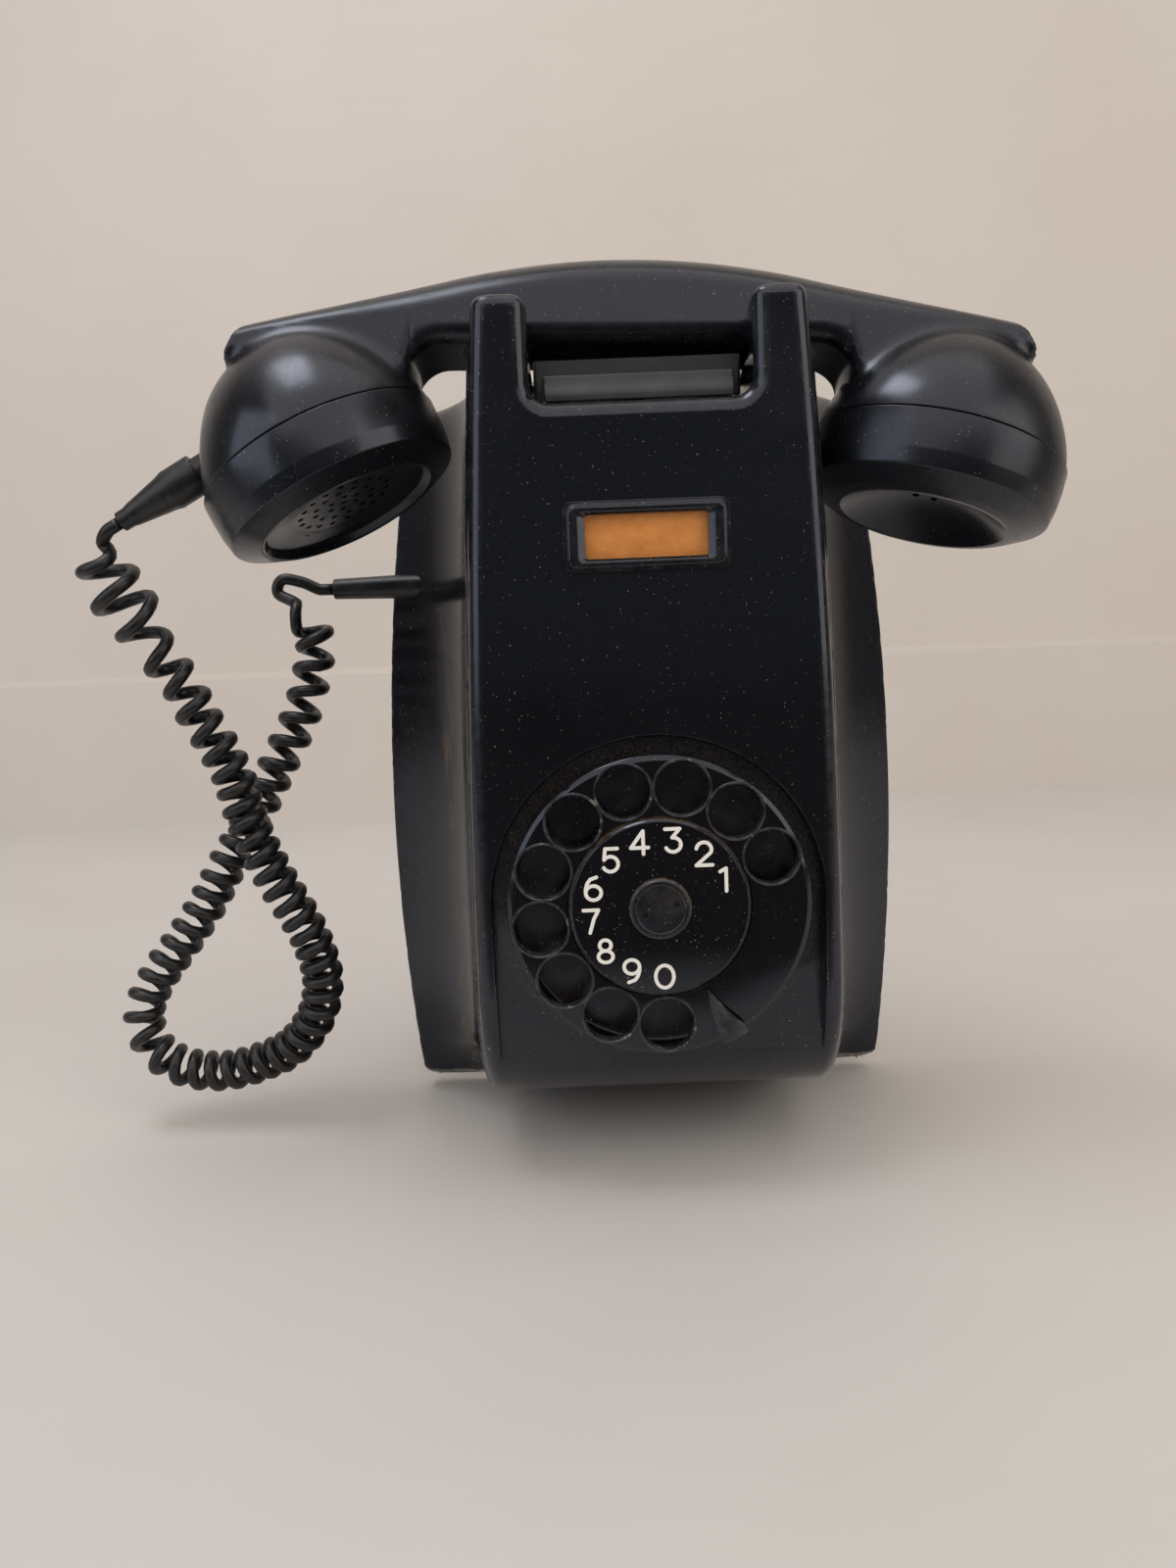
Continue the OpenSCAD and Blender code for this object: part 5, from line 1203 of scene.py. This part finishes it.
# A bent sheet: it rises from its foot outside the wheel, turns inwards and narrows to a point over it
def makeFingerStop(material):
    look, path, foot = fingerStop, fingerStop["path"], fingerStop["footHalf"]
    rows, across, verts = len(path), 13, []
    for k, (r, d) in enumerate(path):
        ahead = np.array(path[min(rows - 1, k + 1)]) - np.array(path[max(0, k - 1)])
        ahead /= np.linalg.norm(ahead)
        out = np.array([-ahead[1], ahead[0]]) * -1
        high, low = foot, foot
        if k >= look["footRows"]:
            high, low = (np.interp(r, look["radii"], look[side]) for side in ("wideA", "wideB"))
        hollow = 0.75 * ease((37.6 - r) / 3) * ease((r - 25) / 6)
        for face in (1, -1):
            for j in range(across):
                v = -1 + 2 * j / (across - 1)
                w = v * (high if v > 0 else low)
                edge = 0.5 * (1 - max(0, abs(v) - 0.82) / 0.18 * 0.55)
                at = np.array([r, d]) + out * (face * edge + hollow * (v * v - 0.5) * 0.9)
                verts.append((at[0], w, at[1]))
    faces, row = [], 2 * across
    for k in range(rows - 1):
        a = k * row
        for j in range(across - 1):
            faces.append((a + j, a + j + 1, a + row + j + 1, a + row + j))
            faces.append((a + across + j, a + row + across + j, a + row + across + j + 1, a + across + j + 1))
        faces.append((a, a + row, a + row + across, a + across))
        faces.append((a + across - 1, a + 2 * across - 1, a + row + 2 * across - 1, a + row + across - 1))
    for k in (0, rows - 1):
        a = k * row
        faces += [(a + j, a + j + 1, a + across + j + 1, a + across + j) for j in range(across - 1)]
    angle = math.radians(dial["stopAngle"])
    c, s = math.cos(angle), math.sin(angle)
    world = [Vector((r * c - w * s, -d, dial["z"] + r * s + w * c)) * mm for r, w, d in verts]
    stop = newPiece("fingerStopSheet", world, faces, material)
    tidyMesh(stop)
    creaseAt(stop, 40)
    fit(stop, "finger_stop", "phone")


# The card's frame: half width, half height, corner and depth of each ring of its moulding, and for the card
# and the pane the depth of back and front and how far it bows, in mm
cardFrame = {
    "z": 68.0, "sheetHalves": (15.8, 5.45), "card": (83.78, 84.1, 0.04), "pane": (84.25, 84.95, -0.04),
    "profile": [(20.75, 8.75, 2.5, 86.05), (20.75, 8.75, 2.5, 86.75), (20.6, 8.6, 2.4, 86.95), (20.3, 8.3, 2.3, 87.0),
                (19.8, 7.8, 2.1, 87.0), (19.6, 7.6, 2.0, 87.1), (19.5, 7.5, 2.0, 87.35), (19.3, 7.3, 1.9, 87.52),
                (18.9, 6.95, 1.7, 87.6), (17.4, 6.3, 1.5, 87.6), (17.1, 6.15, 1.4, 87.52), (15.6, 5.55, 0.9, 86.7),
                (15.35, 5.42, 0.8, 86.5), (15.3, 5.4, 0.8, 86.2), (15.3, 5.4, 0.8, 85.04), (16.1, 5.5, 0.6, 85.04),
                (16.1, 5.5, 0.6, 83.2), (17.65, 5.65, 0.9, 83.2), (17.65, 5.65, 0.9, 86.05)],
}


def roundedRectangle(halfX, halfZ, corner, steps=6):
    points = []
    for sx, sz, start in ((1, 1, 0), (-1, 1, 90), (-1, -1, 180), (1, -1, 270)):
        for k in range(steps + 1):
            a = math.radians(start + 90 * k / steps)
            points.append((sx * (halfX - corner) + corner * math.cos(a), sz * (halfZ - corner) + corner * math.sin(a)))
    return points


def makeCardFrame(material, paper, window):
    z, verts, rings = cardFrame["z"], [], len(cardFrame["profile"])
    for halfX, halfZ, corner, d in cardFrame["profile"]:
        verts += [Vector((x, -d, z + h)) * mm for x, h in roundedRectangle(halfX, halfZ, corner)]
    surround = newPiece("cardFrameMoulding", verts, tubeFaces(rings, len(verts) // rings, True), material)
    tidyMesh(surround, finestWeld * 2)
    creaseAt(surround, 38)
    setWear(surround, 0.3)
    card = sheetMesh("agedNumberCard", cardFrame["card"], paper)
    pane = sheetMesh("celluloidPane", cardFrame["pane"], window)
    for piece, node in ((surround, "card_frame"), (card, "number_card"), (pane, "card_window")):
        fit(piece, node, "phone")


# A thin sheet, a little bowed along its length, with rounded edges
def sheetMesh(name, look, material):
    (halfX, halfZ), z, (d0, d1, bow) = cardFrame["sheetHalves"], cardFrame["z"], look
    rings = [(0.12, d0), (0.02, d0 + 0.06), (0, d0 + 0.12), (0, d1 - 0.12), (0.02, d1 - 0.06), (0.12, d1)]
    verts = []
    for inset, d in rings:
        verts += [Vector((x, -d - bow * (1 - (x / halfX) ** 2), z + h)) * mm
                  for x, h in roundedRectangle(halfX - inset, halfZ - inset, 0.5 - inset)]
    n = len(verts) // len(rings)
    faces = tubeFaces(len(rings), n) + [tuple(reversed(range(n))), tuple(range((len(rings) - 1) * n, len(rings) * n))]
    return tidyMesh(newPiece(name, verts, faces, material, False))


def prismMesh(name, outline, x0, x1, material):
    verts = [Vector((x, y, z)) * mm for x in (x0, x1) for y, z in outline]
    return tidyMesh(newPiece(name, verts, prismFaces(len(outline)), material))


# The bar's two slabs have a half width, the middle and half size of their depth and height, and an edge radius, in mm
hookBar = {
    "front": (24.5, 68.0, 6.0, 106.4, 3.4, 0.8), "back": (27.0, 63.5, 1.5, 109.9, 5.3, 0.6),
    "hollowDepth": 81.0, "hollowZ": 110.2, "hollowRadius": 8.6, "hollowEdge": 0.5,
    "arm": [(-34, 96.5), (-34, 99.5), (-42, 102), (-63, 112), (-63, 105), (-46, 95), (-40, 95)], "armX": (20, 22),
    "hub": [(1.55, 0), (3, 0, 0.4), (3, 5, 0.4), (1.55, 5)], "hubX": (-23.5, 18.5), "pinY": -40.0, "pinZ": 98.0,
    "cross": ((-23, -36, 96.5), (23, -34, 99.5)), "tail": ((-4, -35.5, 97), (4, -24, 99)),
}


def slabShape(x, d, z, slab):
    half, depth, deep, height, high, edge = slab
    return roundBoth(np.abs(x) - half, np.maximum(np.abs(d - depth) - deep, np.abs(z - height) - high), edge)


def barShape(x, y, z):
    look, d = hookBar, -y
    hollow = look["hollowRadius"] - np.hypot(d - look["hollowDepth"], z - look["hollowZ"])
    front = roundBoth(slabShape(x, d, z, look["front"]), hollow, look["hollowEdge"])
    return np.minimum(front, slabShape(x, d, z, look["back"]))


# A hollowed cradle bar on two arms that swing on a pin inside the case
def makeHook(material):
    step = 0.55
    points, faces = skinOf(barShape, gridLines(-28, 28, 0.8), gridLines(-75, -61, step), gridLines(102, 116, step))
    bar = newPiece("cradleBar", points * mm, faces, material)
    tidyMesh(bar)
    exactNormals(bar, barShape, 45)
    look, (near, far) = hookBar, hookBar["armX"]
    rest = [prismMesh("arm", look["arm"], near, far, material), prismMesh("arm", look["arm"], -far, -near, material),
            blockMesh("cross", *look["cross"]), blockMesh("tail", *look["tail"])]
    for x in look["hubX"]:
        rest.append(latheMesh("hub", roundProfile(look["hub"], 3, True), 32, alongX(x, look["pinY"], look["pinZ"], 90)))
    for piece in rest:
        piece.data.materials.clear()
        piece.data.materials.append(material)
        creaseAt(piece, 30)
    for piece in [bar] + rest:
        fit(piece, "hook_bar", "hook")


# Every CAD node that stays gets its real finish
slotFinish = {
    "bakelite": "body", "black_steel": "blackSteel", "bright_steel": "brightSteel", "brass": "brass",
    "nickel": "nickel", "windings": "windings", "grey_part": "greyPart", "fibre": "fibre", "rubber": "sleeve",
    "card": "paper", "celluloid": "window",
}
ownFinish = {"dial_plate": "floorOfDial"}


def finishNodes():
    for name, node in nodes.items():
        material = finishes[ownFinish.get(name, slotFinish[slots[name]])]
        node.data.materials.clear()
        node.data.materials.append(material)


# The stage, in metres: a pale painted floor under the telephone and a pale boarded wall some way behind it
stageLook = {
    "floorZ": -0.1034, "wallY": 0.62, "wallFoot": 0.12, "wallStep": 0.012, "wallTop": 2.6, "halfWidth": 3.0,
    "shelfEdge": -0.27, "reflectedShadeBeyondShelf": "#1a1817", "floor": "#d6d4d1", "floorPatch": "#c9c5c0", "wall": "#d6d0c9",
    "wallPatch": "#cdc4bd",
}


# Painted wood. The floor is painted dark in front of its shelf edge, but only as seen in reflections: a painted
# reflection of the dark room beyond the edge, where the real shelf ends
def stageMaterial(name, base, patch, rough, shelfEdge=None):
    material, tree, where = newMaterial(name)
    layers = [(speckle(tree, where, 240, 0.3, 0.7, 3.0), 0.5, patch)]
    brush = speckle(tree, where, 12, 0.3, 0.7, 3.0, (0.12, 1, 1))
    if shelfEdge is not None:
        y = addNode(tree, "ShaderNodeSeparateXYZ", {"Vector": where}).outputs["Y"]
        ahead = addNode(tree, "ShaderNodeMapRange", {
            "Value": y, "From Min": shelfEdge + 0.03, "From Max": shelfEdge - 0.03}).outputs["Result"]
        # Painted reflection: only glossy rays see the floor dark in front of the shelf edge
        layers.append((ahead, addNode(tree, "ShaderNodeLightPath").outputs["Is Glossy Ray"], stageLook["reflectedShadeBeyondShelf"]))
    closeMaterial(tree, {"Base Color": layOver(tree, base, layers),
                         "Roughness": addUp(tree, rough, [(brush, 0.1)])}, brush, 0.12, 0.4)
    return material


# The wall is one plain board above a low skirting that stands out a little
def makeStage(look):
    z, y, half, foot = look["floorZ"], look["wallY"], look["halfWidth"], look["floorZ"] + look["wallFoot"]
    back = y + look["wallStep"]
    outline = [(-half, z), (y, z), (y, foot), (back, foot + 0.005), (back, z + look["wallTop"])]
    paint = stageMaterial("paintedFloor", look["floor"], look["floorPatch"], 0.5, look["shelfEdge"])
    floor = newPiece("paleFloor", [(x, a, b) for x in (-half, half) for a, b in outline[:2]], [(0, 1, 3, 2)],
                     paint, False)
    paint = stageMaterial("paintedBoards", look["wall"], look["wallPatch"], 0.45)
    wall = newPiece("paleWall", [(x, a, b) for x in (-half, half) for a, b in outline[1:]],
                    [(k, k + 4, k + 5, k + 1) for k in range(3)], paint, False)
    return floor, wall


# A pale room: a broad panel over the viewer, a small skylight above, and a panel on each side.
# Each lamp has its place and aim in metres, its width and height, its watts and its colour
lights = [
    ("ceilingPanel", (0.0, -1.1, 1.7), (0, -0.25, 0), 2.8, 3.4, 34, "#fff6ee"),
    ("skylight", (-0.32, -0.14, 1.0), (0, -0.05, 0), 0.46, 0.3, 2.3, "#f8faff"),
    ("leftPanel", (-1.4, -0.95, 0.6), (0, 0, 0.03), 1.2, 1.3, 7, "#f6f7ff"),
    ("rightPanel", (1.4, -0.95, 0.6), (0, 0, 0.03), 1.2, 1.3, 8.5, "#fff4e8"),
]


def makeLights():
    for name, place, aim, width, height, watts, colour in lights:
        data = bpy.data.lights.new(name, "AREA")
        data.shape, data.size, data.size_y = "RECTANGLE", width, height
        data.energy, data.color = watts, tone(colour)[:3]
        lamp = bpy.data.objects.new(name, data)
        direction = Vector(aim) - Vector(place)
        turn = direction.to_track_quat("-Z", "Y").to_matrix().to_4x4()
        lamp.matrix_world = Matrix.Translation(place) @ turn
        scene.collection.objects.link(lamp)
    world = bpy.data.worlds.new("paleRoom")
    scene.world = world
    world.use_nodes = True
    tree = world.node_tree
    tree.nodes.clear()
    glow = addNode(tree, "ShaderNodeBackground", {"Color": "#d9d6d4", "Strength": 0.2})
    addNode(tree, "ShaderNodeOutputWorld", {"Surface": glow.outputs[0]})


cord = makeCord(finishes["cord"])
shell = makeHousing(finishes["body"])
fit(shell, "housing", "phone")
print("housing:", len(shell.data.polygons), "faces")
grip = makeHandsetBody(finishes["handset"])
fit(grip, "handset_body", "handset")
print("handset:", len(grip.data.polygons), "faces")
makeCaps(finishes["handset"])
makeBoots(finishes["sleeve"])
print("caps and boots done")
makeWheel(finishes["dial"])
makeNumberDisc(finishes["dial"], finishes["numerals"])
makeNut(finishes["nutFace"])
makeFingerStop(finishes["stopSteel"])
print("dial done")
makeCardFrame(finishes["dial"], finishes["paper"], finishes["window"])
makeHook(finishes["barGrey"])
print("card and hook done")
finishNodes()
makeStage(stageLook)
makeLights()
bpy.context.view_layer.update()
